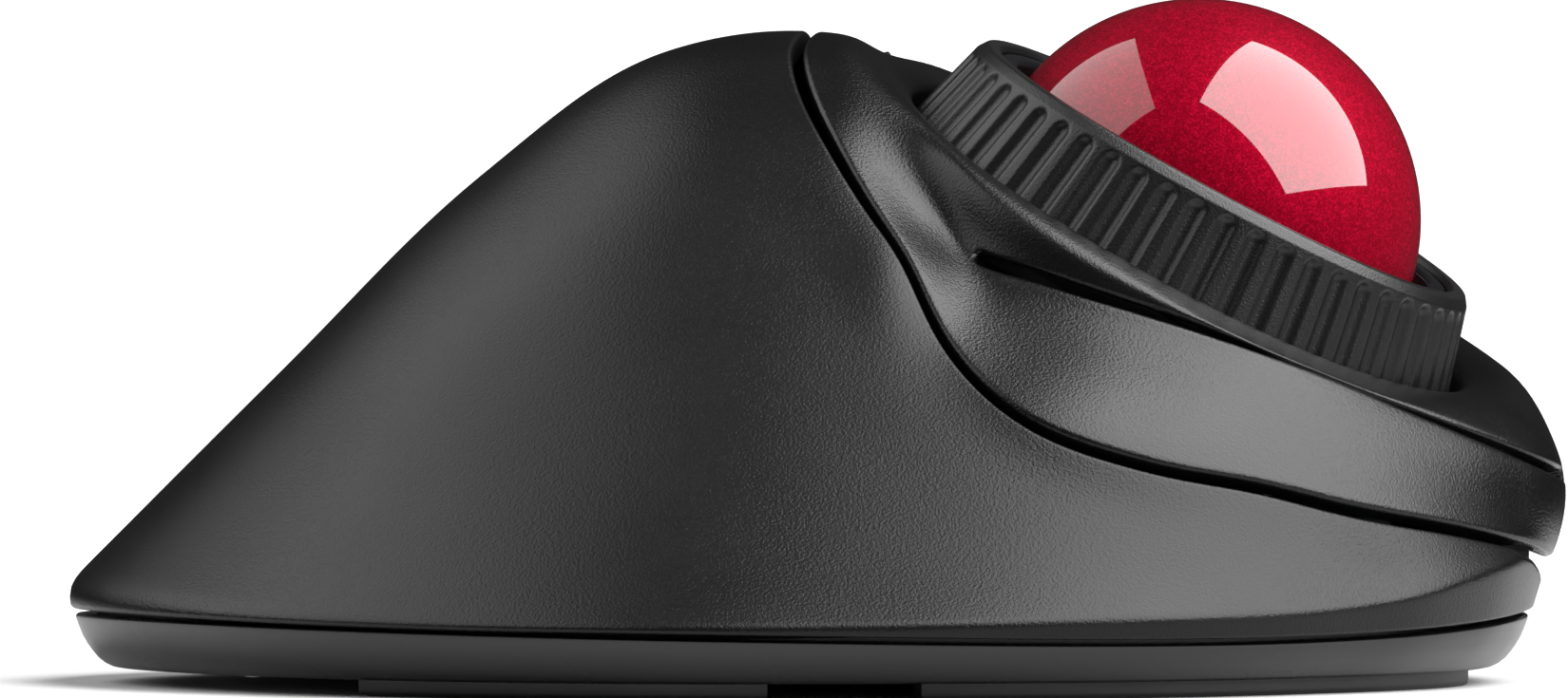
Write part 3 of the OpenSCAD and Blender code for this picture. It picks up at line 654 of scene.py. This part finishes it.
def palm_shell():
    """The palm rest: the skin below the groove, the crease, and the thin band down to the parting."""
    edges = [p[k] + (-PATCH_TURN, PATCH_TURN)[k] for p in (FORWARD, BACK) for k in (0, 1)]
    angles = columns_with(edges, radius=50.0)
    skin = Skin(angles)
    rim = rim_points(angles)
    crease = skin.total
    lip = ease((np.abs(angles) - LIP_ANGLE + 4) / 8)
    start = crease - 0.2 + lip * (skin.rows[:, GROOVE_ROW] + HALF_GAP - crease + 0.2)
    lines = []
    for i in range(len(angles)):
        down = profile_at(skin, i, np.linspace(start[i], crease[i], 200))
        band = down[-1] + (rim[i] - down[-1]) * np.linspace(0, 1, 30)[1:, None]
        spread = 0.4 + 0.9 * ease((abs(angles[i]) - 140) / 30)
        lines.append(soften(np.concatenate([down, band]), spread))
    total = np.array([arc_length(line)[-1] for line in lines])
    share = np.minimum(1, total / 16)
    first = FORWARD[3] - HALF_GAP - PATCH_GAP
    tall = FORWARD[4] + 2 * PATCH_GAP
    parts = [(graded(first, 0.5), first * share), (graded(tall, 0.6), tall * share),
             (graded(50, 0.55), None)]
    grid = segments_grid(lines, parts)
    count, rows = grid.shape[:2]
    low = len(parts[0][0]) - 1
    high = low + len(parts[1][0]) - 1
    keep = np.ones((count, rows), bool)
    mid = middles(angles)
    for patch in (FORWARD, BACK):
        keep[np.ix_(inside_patch(mid, patch), np.arange(low, high))] = False
    faces = grid_faces(count, rows, True, keep)
    normals = grid_normals(grid, True)
    return thick_panel("palm_shell_skin", grid.reshape(-1, 3), normals.reshape(-1, 3), faces,
                       PALM_WALL, 0.45)


SLIT_HALF = 0.55
SLIT_R = 32.5
NECK_GAP = 0.008
NECK_CLEAR = 0.1
SPINE_RIB = 2.2
THINNED = 0.9


def slit_half(angles):
    """Half the slit's width at each angle: a long slot with a round end at the neck and at the spine."""
    turn = math.degrees(SLIT_HALF / SLIT_R)
    a = np.abs(angles)
    inner = np.clip((a - SPINE) / turn, 0, 1)
    outer = np.clip((FLAP_BACK - a) / turn, 0, 1)
    wide = 1 + 0.6 * ease((110 - a) / 50) * ease((a - 36) / 24)
    return SLIT_HALF * wide * np.sqrt(1 - (1 - inner) ** 2) * np.sqrt(1 - (1 - outer) ** 2)


def slit_wall(grid, angles):
    """Wall under each point of a grid whose first row is the slit's edge; the spine has a rib behind it."""
    steps = np.linalg.norm(np.diff(grid, axis=1), axis=2)
    away = np.concatenate([np.zeros((len(grid), 1)), np.cumsum(steps, axis=1)], axis=1)
    rib = SPINE_RIB * ease((SPINE + 2 - np.abs(angles)) / 2)
    thin = THINNED * ease((np.abs(angles) - 50) / 15)
    return SHELL_WALL - thin[:, None] * (1 - ease(away / 2.5)) + rib[:, None]


def cover_columns():
    edges = [DPI[0] - PATCH_TURN, DPI[1] + PATCH_TURN]
    for side in (-1, 1):
        edges += [side * SPINE, side * FLAP_FRONT, side * FLAP_BACK]
    return columns_with(edges)


def cover_and_flaps():
    """The front cover with its ring well, and the two click flaps cut out of the same skin."""
    angles = cover_columns()
    skin = Skin(angles)
    slit = skin.rows[:, SLIT_ROW]
    groove = skin.rows[:, GROOVE_ROW]
    half = slit_half(angles)
    gap = np.full(len(angles), HALF_GAP)
    upper, lower = [], []
    for i, a in enumerate(np.radians(angles)):
        top = profile_at(skin, i, np.linspace(0, slit[i] - half[i], 120))
        foot = tilted([WELL_R * math.cos(a), WELL_R * math.sin(a), WELL_FOOT])
        wall = foot + (top[0] - foot) * np.linspace(0, 1, 40)[:-1, None]
        upper.append(soften(np.concatenate([wall, top]), 0.3, 0.08)[::-1])
        lower.append(profile_at(skin, i, np.linspace(slit[i] + half[i], groove[i] - gap[i], 90)))
    reach = -DPI[3] + PATCH_GAP - half
    below = DPI[3] + DPI[4] + PATCH_GAP - half
    size_up = np.array([arc_length(line)[-1] for line in upper])
    size_low = np.array([arc_length(line)[-1] for line in lower])
    up_parts = [(graded(2.6, 0.5), np.minimum(reach, 0.5 * size_up)), (graded(12, 0.45), None)]
    low_parts = [(graded(2.4, 0.4), np.minimum(below, 0.5 * size_low)), (graded(9, 0.5), None)]
    top_grid = segments_grid(upper, up_parts)[:, ::-1]
    low_grid = segments_grid(lower, low_parts)
    count, top_rows = top_grid.shape[:2]
    low_rows = low_grid.shape[1]
    top_n = grid_normals(top_grid, True)
    low_n = grid_normals(low_grid, True)
    joined = half < 1e-9
    both = (top_n[joined, -1] + low_n[joined, 0]) / 2
    top_n[joined, -1] = both
    low_n[joined, 0] = both
    points = np.concatenate([top_grid.reshape(-1, 3), low_grid.reshape(-1, 3)])
    normals = np.concatenate([top_n.reshape(-1, 3), low_n.reshape(-1, 3)])
    normals /= np.linalg.norm(normals, axis=1, keepdims=True)
    offset = count * top_rows
    # the walls thin out towards the slit, so that they stay apart under it
    depth = np.concatenate([slit_wall(top_grid[:, ::-1], angles)[:, ::-1].ravel(),
                            slit_wall(low_grid, angles).ravel()])
    mid = middles(angles)
    mid = (mid + 180) % 360 - 180
    dpi = inside_patch(mid, DPI)
    keep_top = np.ones((count, top_rows), bool)
    cut = len(up_parts[0][0]) - 1
    keep_top[np.ix_(dpi, np.arange(top_rows - 1 - cut, top_rows - 1))] = False
    keep_low = np.ones((count, low_rows), bool)
    keep_low[np.ix_(dpi, np.arange(len(low_parts[0][0]) - 1))] = False
    body = (np.abs(mid) > FLAP_BACK) | (np.abs(mid) < SPINE)
    top_faces = grid_faces(count, top_rows, True, keep_top)
    low_faces = grid_faces(count, low_rows, True, keep_low & body[:, None]) + offset
    # where the slit is shut, the two bands share their vertices
    swap = np.arange(len(points))
    shut = np.nonzero(joined)[0]
    swap[offset + shut * low_rows] = shut * top_rows + top_rows - 1
    low_faces = swap[low_faces]
    ends = np.nonzero(np.abs(np.abs(angles) - FLAP_BACK) < 1e-6)[0]
    flap_ends = offset + ends[:, None] * low_rows + np.arange(low_rows)
    square = np.zeros(len(points), bool)
    square[swap[flap_ends.ravel()]] = True
    cover = thick_panel("front_cover_skin", points, normals, np.concatenate([top_faces, low_faces]),
                        depth, 0.5, square)
    flaps = []
    for side, name in ((-1, "right_button_skin"), (1, "left_button_skin")):
        own = (side * mid > FLAP_FRONT) & (side * mid < FLAP_BACK)
        faces = grid_faces(count, low_rows, True, own[:, None] & np.ones((1, low_rows), bool)) + offset
        moved = points.copy()
        under = np.zeros_like(points)
        # a hair of a gap at the neck, so that the flap doesn't touch the cover there
        near = np.nonzero(np.abs(side * angles - FLAP_BACK) < 1e-6)[0]
        for i in near:
            rows = offset + i * low_rows + np.arange(low_rows)
            inner = offset + (i - side) * low_rows + np.arange(low_rows)
            away = points[inner] - points[rows]
            away /= np.linalg.norm(away, axis=1, keepdims=True)
            moved[rows] = points[rows] + away * NECK_GAP
            under[rows] = away * NECK_CLEAR
        flaps.append(thick_panel(name, moved, normals, faces, depth, 0.55, square, under))
    return cover, flaps


def patch_button(name, patch):
    """A button on the skin, standing a little proud, with rounded edges."""
    wide = np.radians(patch[1] - patch[0]) * PATCH_R
    angles = patch[0] + (patch[1] - patch[0]) * graded(wide, 0.4)
    skin = Skin(angles)
    start = skin.rows[:, patch[2]] + patch[3]
    s = start[:, None] + patch[4] * graded(patch[4], 0.35)[None, :]
    grid = skin.at(s)
    normals = grid_normals(grid, False)
    count, rows = grid.shape[:2]
    # a shallow dish for the fingertip
    across = np.linspace(-1, 1, count)[:, None]
    dish = 0.25 * (1 - np.abs(2 * (s - start[:, None]) / patch[4] - 1) ** 2) * (1 - across**4)
    top = grid + normals * (PATCH_PROUD - dish)[..., None]
    faces = grid_faces(count, rows, False)
    return thick_panel(name, top.reshape(-1, 3), normals.reshape(-1, 3), faces,
                       PATCH_PROUD + PALM_WALL, 0.5)


# ---------------------------------------------------------------- round parts
def revolve(name, profile, columns, shape=None, sharp=None):
    """A closed profile [radius, height] turned about the ring's axis; shape may move its points."""
    angles = np.arange(columns) * 2 * math.pi / columns
    n = len(profile)
    r = np.repeat(profile[None, :, 0], columns, axis=0)
    w = np.repeat(profile[None, :, 1], columns, axis=0)
    if shape is not None:
        r, w = shape(angles[:, None], r, w)
    p = np.stack([r * np.cos(angles)[:, None], r * np.sin(angles)[:, None], w], axis=2)
    faces = []
    for i in range(columns):
        k = (i + 1) % columns
        for j in range(n):
            m = (j + 1) % n
            faces.append((i * n + j, k * n + j, k * n + m, i * n + m))
    return mesh_object(name, tilted(p.reshape(-1, 3)), faces, sharp_angle=sharp)


def rounded_loop(corners, step):
    """A closed polygon [x, y, radius] with rounded corners, sampled at about one step."""
    pts = []
    c = np.array([k[:2] for k in corners], float)
    n = len(c)
    for i, corner in enumerate(corners):
        r = corner[2]
        a = unit(c[i - 1] - c[i])
        b = unit(c[(i + 1) % n] - c[i])
        if r <= 0:
            pts.append(c[i])
            continue
        half = math.acos(max(-1, min(1, float(a @ b)))) / 2
        back = r / math.tan(half)
        centre = c[i] + unit(a + b) * r / math.sin(half)
        p0 = c[i] + a * back - centre
        p1 = c[i] + b * back - centre
        turn = math.atan2(p0[0] * p1[1] - p0[1] * p1[0], p0 @ p1)
        for t in np.linspace(0, 1, 7):
            ct, st = math.cos(turn * t), math.sin(turn * t)
            pts.append(centre + [p0[0] * ct - p0[1] * st, p0[0] * st + p0[1] * ct])
    pts = np.array(pts)
    dense = []
    for i in range(len(pts)):
        a = pts[i]
        b = pts[(i + 1) % len(pts)]
        m = max(int(np.linalg.norm(b - a) / step), 1)
        for t in range(m):
            dense.append(a + (b - a) * t / m)
    return np.array(dense)


FLUTES = 54
FLUTE_R = 1.0
FLUTE_HALF = 0.86
FLUTE_TOP = 3.3


def ring_shape(angles, r, w):
    """Cuts the finger flutes into the slanted side of the ring."""
    pitch = 2 * math.pi / FLUTES
    off = (angles + pitch / 2) % pitch - pitch / 2
    across = off * r
    over = np.maximum(w - FLUTE_TOP, 0)
    d = np.sqrt(across**2 + over**2)
    sink = FLUTE_R - math.sqrt(FLUTE_R**2 - FLUTE_HALF**2)
    depth = np.sqrt(np.maximum(FLUTE_R**2 - np.minimum(d, FLUTE_HALF) ** 2, 0)) - (FLUTE_R - sink)
    # the edge of the flute rolls over softly
    lip = 0.06 * np.exp(-(((d - FLUTE_HALF) / 0.12) ** 2))
    side = ease((r - 24.2) / 0.5) * ease((w + 4.9) / 0.3)
    return r - (np.maximum(depth, 0) + lip) * side, w - 0.28 * np.maximum(depth, 0) * side


def scroll_ring():
    loop = rounded_loop([(22.25, -5, 0.15), (27.3, -5, 0.5), (27.4, -3.9, 0.4), (24.95, 4.5, 0.7),
                         (24.3, 5.4, 0.45), (23.1, 5.4, 0.25), (22.8, 4.9, 0.2), (22.8, 3.8, 0.1),
                         (22.25, 3.8, 0.1)], 0.2)
    return revolve("scroll_ring_body", loop, FLUTES * 16, ring_shape, sharp=60)


def socket_bezel():
    loop = rounded_loop([(20.9, 2, 0.1), (22.12, 2, 0.1), (22.12, 4, 0.05), (22.6, 4, 0.05),
                         (22.6, 4.9, 0.3), (20.9, 4.9, 0.55)], 0.12)
    return revolve("socket_bezel_trim", loop, 360, sharp=60)


def ball():
    """The ball as a smooth sphere, its poles on its own rolling axis."""
    rows, columns = 160, 320
    t = np.linspace(0, math.pi, rows + 1)[1:-1]
    a = np.arange(columns) * 2 * math.pi / columns
    x = np.sin(t)[:, None] * np.cos(a)
    y = np.repeat(np.cos(t)[:, None], columns, axis=1)
    z = np.sin(t)[:, None] * np.sin(a)
    p = np.stack([x, y, z], axis=2).reshape(-1, 3) * BALL_R + BALL_C
    n = len(t)
    p = np.concatenate([p, [BALL_C + [0, BALL_R, 0], BALL_C - [0, BALL_R, 0]]])
    faces = []
    for j in range(columns):
        k = (j + 1) % columns
        for i in range(n - 1):
            faces.append((i * columns + j, i * columns + k, (i + 1) * columns + k, (i + 1) * columns + j))
        faces.append((n * columns, k, j))
        faces.append((n * columns + 1, (n - 1) * columns + j, (n - 1) * columns + k))
    return mesh_object("trackball", p, faces)


# ---------------------------------------------------------------- base and its small parts
def outline(inset, angles):
    p = rim_points(angles)[:, :2]
    q = rim_points(angles + 1)[:, :2]
    r = rim_points(angles - 1)[:, :2]
    d = (q - r) / np.linalg.norm(q - r, axis=1, keepdims=True)
    return np.column_stack([p[:, 0] - inset * d[:, 1], p[:, 1] + inset * d[:, 0]])


OUTLINE_ANGLES = np.arange(-180, 180, 1.0)


def loft(name, rings, band=False):
    """A solid through a stack of rings, lowest first, shut at both ends: by fans, or across for a band."""
    n = len(rings[0])
    m = len(rings)
    points = np.concatenate(rings if band else rings + [[rings[0].mean(axis=0)], [rings[-1].mean(axis=0)]])
    faces = []
    top = (m - 1) * n
    if band:
        for i in range(n // 2 - 1):
            faces.append((i + 1, i, n - 1 - i, n - 2 - i))
            faces.append((top + i, top + i + 1, top + n - 2 - i, top + n - 1 - i))
    for i in range(n):
        k = (i + 1) % n
        for j in range(m - 1):
            faces.append((j * n + i, j * n + k, (j + 1) * n + k, (j + 1) * n + i))
        if not band:
            faces.append((m * n, k, i))
            faces.append((m * n + 1, top + i, top + k))
    return mesh_object(name, points, faces, sharp_angle=50)


def base_ring(inset, low, share):
    o = outline(inset, OUTLINE_ANGLES)
    return np.column_stack([o, low + share * (parting_z(OUTLINE_ANGLES) - 0.4 - low)])


def box_mesh(name, low, high, bevel=0.0):
    bm = bmesh.new()
    bmesh.ops.create_cube(bm, size=1)
    low = np.array(low, float)
    high = np.array(high, float)
    for v in bm.verts:
        v.co = Vector((low + (high - low) * (np.array(v.co) + 0.5)) * MM)
    if bevel > 0:
        bmesh.ops.bevel(bm, geom=bm.edges[:], offset=bevel * MM, segments=3, affect="EDGES", profile=0.5)
    mesh = bpy.data.meshes.new(name)
    bm.to_mesh(mesh)
    bm.free()
    mesh.polygons.foreach_set("use_smooth", [True] * len(mesh.polygons))
    mesh.set_sharp_from_angle(angle=math.radians(40))
    return link(bpy.data.objects.new(name, mesh))


def rod_mesh(name, centre, radius, low, high):
    count = 48
    t = np.arange(count) * 2 * math.pi / count
    o = np.column_stack([centre[0] + radius * np.cos(t), centre[1] + radius * np.sin(t)])
    rings = [np.column_stack([o, np.full(count, z)]) for z in (low, high)]
    return loft(name, rings)


def carve(obj, cutters, operation="DIFFERENCE"):
    """Cuts the cutters out of obj (or joins them to it) and removes them."""
    for c in cutters:
        m = obj.modifiers.new("cut", "BOOLEAN")
        m.operation = operation
        m.solver = "EXACT"
        m.object = c
    bpy.context.view_layer.update()
    solid = bpy.data.meshes.new_from_object(obj.evaluated_get(bpy.context.evaluated_depsgraph_get()))
    obj.modifiers.clear()
    obj.data = solid
    for c in cutters:
        bpy.data.objects.remove(c)
    solid.polygons.foreach_set("use_smooth", [True] * len(solid.polygons))
    solid.set_sharp_from_angle(angle=math.radians(38))
    return obj


BAY = ((-48, -6), (24, 14))
SCREWS = [(-48, -20), (-48, 24), (14, -14), (14, 20), (48.5, -6), (48.5, 14)]
POWER = (30, -30)
FEET = {"rear_right_foot": (-150, -124, 9), "front_right_foot": (-114, -27, 4.5),
        "rear_left_foot": (124, 150, 9), "front_left_foot": (27, 114, 4.5)}
FOOT_INSET = 4.6


def foot_loop(foot, grow):
    turn = grow * 1.2
    a = np.linspace(foot[0] - turn, foot[1] + turn, 61)
    near = outline(FOOT_INSET - grow, a)
    far = outline(FOOT_INSET + foot[2] + grow, a[::-1])
    return np.concatenate([near, far])


NOSE_SKIRT = 6.0
NOSE_SKIRT_END = 50.0
TONGUE_OUT = 2.5
TONGUE_IN = 4.7
RIB_HALF = 1.9
POWER_SLOT = (4.5, 2.3)


def tongue_ring(inset, rise):
    o = outline(inset, OUTLINE_ANGLES)
    return np.column_stack([o, parting_z(OUTLINE_ANGLES) + rise])


def base_tray():
    """The base: a shallow tray with a rounded underside, the cell bay and the openings below."""
    # [inset, height as a share of the wall], outside and then inside
    skin = [(4.4, 0.0), (4.0, 0.004), (3.6, 0.02), (3.0, 0.08), (2.4, 0.18), (1.9, 0.3), (1.4, 0.45),
            (1.0, 0.6), (0.65, 0.78), (0.42, 0.92), (0.42, 0.97), (0.6, 1.0)]
    outer = loft("base_tray", [base_ring(i, BASE_Z, s) for i, s in skin])
    hollow = [(6, 0), (3.9, 0.25), (2.6, 0.7), (2.2, 1.1), (2.2, 3)]
    cutters = [loft("cut", [base_ring(i, FLOOR_TOP, s) for i, s in hollow])]
    carve(outer, cutters)
    (x0, y0), (x1, y1) = BAY
    walls = box_mesh("walls", (x0 - 2, y0 - 2, BASE_Z + 0.2), (x1 + 2, y1 + 2, FLOOR_TOP + 17.8))
    carve(walls, [box_mesh("cut", (x0, y0, 0), (x1 - 17, y1, FLOOR_TOP + 16.4)),
                  box_mesh("cut", (x1 - 16, y0, 0), (x1, y1, FLOOR_TOP + 7)),
                  box_mesh("cut", (x1 - 16, y0 - 3, FLOOR_TOP + 8), (x1 + 3, y1 + 3, 40))])
    bosses = [rod_mesh("boss", p, 3, BASE_Z + 0.2, FLOOR_TOP + (2.8 if p[0] < 0 else 1)) for p in SCREWS]
    # a tongue stands up inside the palm shell and keeps light out of the parting line; at the nose
    # it rises to a skirt behind the flaps
    nose = NOSE_SKIRT * ease((NOSE_SKIRT_END - np.abs(OUTLINE_ANGLES)) / 8)
    inset = TONGUE_OUT + nose / NOSE_SKIRT
    tongue = loft("tongue", [tongue_ring(TONGUE_OUT, -3), tongue_ring(inset, 0.9 + nose),
                             tongue_ring(inset + 0.3, 1.2 + nose)])
    carve(tongue, [loft("cut", [tongue_ring(TONGUE_IN, -6), tongue_ring(TONGUE_IN, 4 + nose)])])
    # a rib between the two flaps, right at the nose, where they leave an opening
    tip = rim_points(np.array([0.0]))[0]
    rib = box_mesh("rib", (tip[0] - 5, tip[1] - RIB_HALF, tip[2] - 0.2),
                   (tip[0] - 0.25, tip[1] + RIB_HALF, tip[2] + 8), 0.3)
    carve(outer, [walls, tongue, rib] + bosses, "UNION")
    cuts = [box_mesh("cut", (x0, y0, 0), (x1, y1, FLOOR_TOP + 0.1)),
            box_mesh("cut", (POWER[0] - POWER_SLOT[0], POWER[1] - POWER_SLOT[1], 0),
                     (POWER[0] + POWER_SLOT[0], POWER[1] + POWER_SLOT[1], 4))]
    for p in SCREWS:
        cuts.append(rod_mesh("cut", p, 1.25, 0, 12))
        cuts.append(rod_mesh("cut", p, 2.2, 0, BASE_Z + 1))
    for foot in FEET.values():
        loop = foot_loop(foot, 0.15)
        pocket = [np.column_stack([loop, np.full(len(loop), z)]) for z in (0.5, BASE_Z + 0.3)]
        cuts.append(loft("cut", pocket, band=True))
    return carve(outer, cuts)


def skid_foot(name, foot):
    """A skid with a rounded lower edge."""
    rings = []
    for inset, z in ((0.45, 0.0), (0.2, 0.1), (0.05, 0.28), (0.0, 0.5), (0.0, BASE_Z + 0.29)):
        loop = foot_loop(foot, -inset)
        rings.append(np.column_stack([loop, np.full(len(loop), z)]))
    return loft(name, rings, band=True)


def battery_door():
    low, high = (np.array(c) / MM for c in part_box("battery_door"))
    door = box_mesh("battery_door_panel", low, high, 0.35)
    first = BAY[1][0] - 9
    grooves = [box_mesh("cut", (x, 0, BASE_Z - 1), (x + 0.7, 8, BASE_Z + 0.5), 0.12)
               for x in first + 1.4 * np.arange(5)]
    return carve(door, grooves)


def power_slider():
    low, high = (np.array(c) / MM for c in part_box("power_slider"))
    slider = box_mesh("power_slider_knob", low, high, 0.25)
    half = 0.15
    grooves = [box_mesh("cut", (x - half, low[1] - 1, low[2] - 1), (x + half, high[1] + 1, low[2] + 0.25))
               for x in np.arange(low[0] + 0.9, high[0] - 0.5, 0.8)]
    return carve(slider, grooves)


# ---------------------------------------------------------------- build
finish_piece(palm_shell(), "palm_plastic", "housing", "palm_shell")
COVER, FLAPS = cover_and_flaps()
finish_piece(COVER, "cover_plastic", "housing", "front_cover")
finish_piece(FLAPS[0], "cover_plastic", "right_button", "right_button")
finish_piece(FLAPS[1], "cover_plastic", "left_button", "left_button")
finish_piece(patch_button("forward_button_cap", FORWARD), "cover_plastic", "forward_button", "forward_button")
finish_piece(patch_button("back_button_cap", BACK), "cover_plastic", "back_button", "back_button")
finish_piece(patch_button("dpi_button_cap", DPI), "cover_plastic", "dpi_button", "dpi_button")
finish_piece(base_tray(), "base_plastic", "housing", "base")
for FOOT_NAME, FOOT in FEET.items():
    finish_piece(skid_foot(FOOT_NAME + "_pad", FOOT), "skid_tape", "housing", FOOT_NAME)
finish_piece(battery_door(), "base_plastic", "battery_door", "battery_door")
finish_piece(power_slider(), "white_plastic", "power_slider", "power_slider")
finish_piece(scroll_ring(), "ring_rubber", "scroll_ring", "scroll_ring")
finish_piece(socket_bezel(), "bezel_plastic", "housing", "socket_bezel")
finish_piece(ball(), "ball_red", "ball", "ball")

# The parts inside keep their own shapes and take the better finishes
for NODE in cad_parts.values():
    for INDEX, OLD in enumerate(NODE.data.materials):
        if OLD is not None and OLD.name.split(".")[0] in MATERIALS:
            NODE.data.materials[INDEX] = MATERIALS[OLD.name.split(".")[0]]


# ---------------------------------------------------------------- studio
def pale_floor():
    """Pale floor paint; away from the object it glows, so that its edge melts into the background."""
    m, tree, shader = new_material("pale_floor")
    where = object_coords(tree)
    soft = noise(tree, where, 3, 2.0, 0.5)
    tint = ramp(tree, soft.outputs["Fac"], [(0.0, (0.515, 0.515, 0.515)), (1.0, (0.52, 0.52, 0.52))])
    tree.links.new(tint.outputs["Color"], shader.inputs["Base Color"])
    shader.inputs["Roughness"].default_value = 0.75
    shader.inputs["Specular IOR Level"].default_value = 0.2
    away = node(tree, "ShaderNodeVectorMath", operation="LENGTH")
    tree.links.new(where, away.inputs[0])
    glow = node(tree, "ShaderNodeMapRange", interpolation_type="SMOOTHSTEP")
    glow.inputs["From Min"].default_value = 0.1
    glow.inputs["From Max"].default_value = 0.9
    glow.inputs["To Min"].default_value = 0.0
    glow.inputs["To Max"].default_value = 0.85
    tree.links.new(away.outputs["Value"], glow.inputs["Value"])
    tree.links.new(glow.outputs["Result"], shader.inputs["Emission Strength"])
    shader.inputs["Emission Color"].default_value = (1, 1, 1, 1)
    return m


TABLE_R = 0.17


def disc(name, line, paint, mirrored):
    """A turned sheet from its [radius, height] line; mirrored says if gloss shows it."""
    count = 120
    turn = np.arange(count) * 2 * math.pi / count
    verts = [(0, 0, 0)] + [(r * math.cos(t), r * math.sin(t), z) for r, z in line for t in turn]
    faces = []
    if line[0][0] < 0.1:
        faces = [(0, 1 + i, 1 + (i + 1) % count) for i in range(count)]
    for j in range(len(line) - 1):
        for i in range(count):
            k = (i + 1) % count
            inner, outer = 1 + j * count, 1 + (j + 1) * count
            faces.append((inner + i, outer + i, outer + k, inner + k))
    obj = mesh_object(name, np.array(verts) / MM, faces)
    obj.data.materials.append(paint)
    obj.visible_glossy = mirrored


def backdrop():
    """A pale table top, and a wide surround that stays out of the black gloss."""
    paint = pale_floor()
    disc("table_top", [(0.02, 0.0), (0.1, 0.0), (TABLE_R, 0.0)], paint, True)
    far = [(TABLE_R, 0.0), (0.3, 0.0), (0.8, 0.0), (1.6, 0.0), (2.2, 0.0)]
    far += [(2.2 + 0.4 * math.sin(t), 0.4 - 0.4 * math.cos(t)) for t in np.linspace(0.15, math.pi / 2, 10)]
    disc("surround", far, paint, False)


LIGHT_DISTANCE = 1.5
CAMERA_DISTANCE = 0.8
LENS_MM = 203.9


def area_light(name, direction, size_x, size_y, watts, aim):
    data = bpy.data.lights.new(name, "AREA")
    data.shape = "RECTANGLE"
    data.size = size_x
    data.size_y = size_y
    data.energy = watts
    obj = link(bpy.data.objects.new(name, data))
    spot = Vector(aim) + Vector(direction).normalized() * LIGHT_DISTANCE
    obj.location = spot
    obj.rotation_euler = (Vector(aim) - spot).to_track_quat("-Z", "Y").to_euler()


def studio():
    low, high = CAD_BOX
    centre = [(low[i] + high[i]) / 2 for i in range(3)]
    camera_data = bpy.data.cameras.new("photo_camera")
    camera_data.sensor_width = 36
    camera_data.lens = LENS_MM
    camera_data.clip_start = 0.05
    camera = link(bpy.data.objects.new("photo_camera", camera_data))
    target = Vector((centre[0] - 0.0027, BALL_C[1] * MM, 0.0299))
    camera.location = (target.x, target.y - CAMERA_DISTANCE, 0.0264)
    camera.rotation_euler = (target - camera.location).to_track_quat("-Z", "Y").to_euler()
    bpy.context.scene.camera = camera
    backdrop()
    aim = (0.02, 0.0, 0.035)
    # a large softbox over the nose, seen in the ball, and a weaker one over the heel
    area_light("nose_softbox", (0.62, -0.22, 0.7), 1.75, 2.0, 104, aim)
    area_light("heel_softbox", (-0.68, 0.06, 0.62), 1.75, 1.6, 24, aim)
    world = bpy.data.worlds.new("soft_white")
    world.use_nodes = True
    world.node_tree.nodes["Background"].inputs["Color"].default_value = (1, 1, 1, 1)
    world.node_tree.nodes["Background"].inputs["Strength"].default_value = 0.02
    bpy.context.scene.world = world
    bpy.context.scene.view_settings.view_transform = "Standard"


studio()
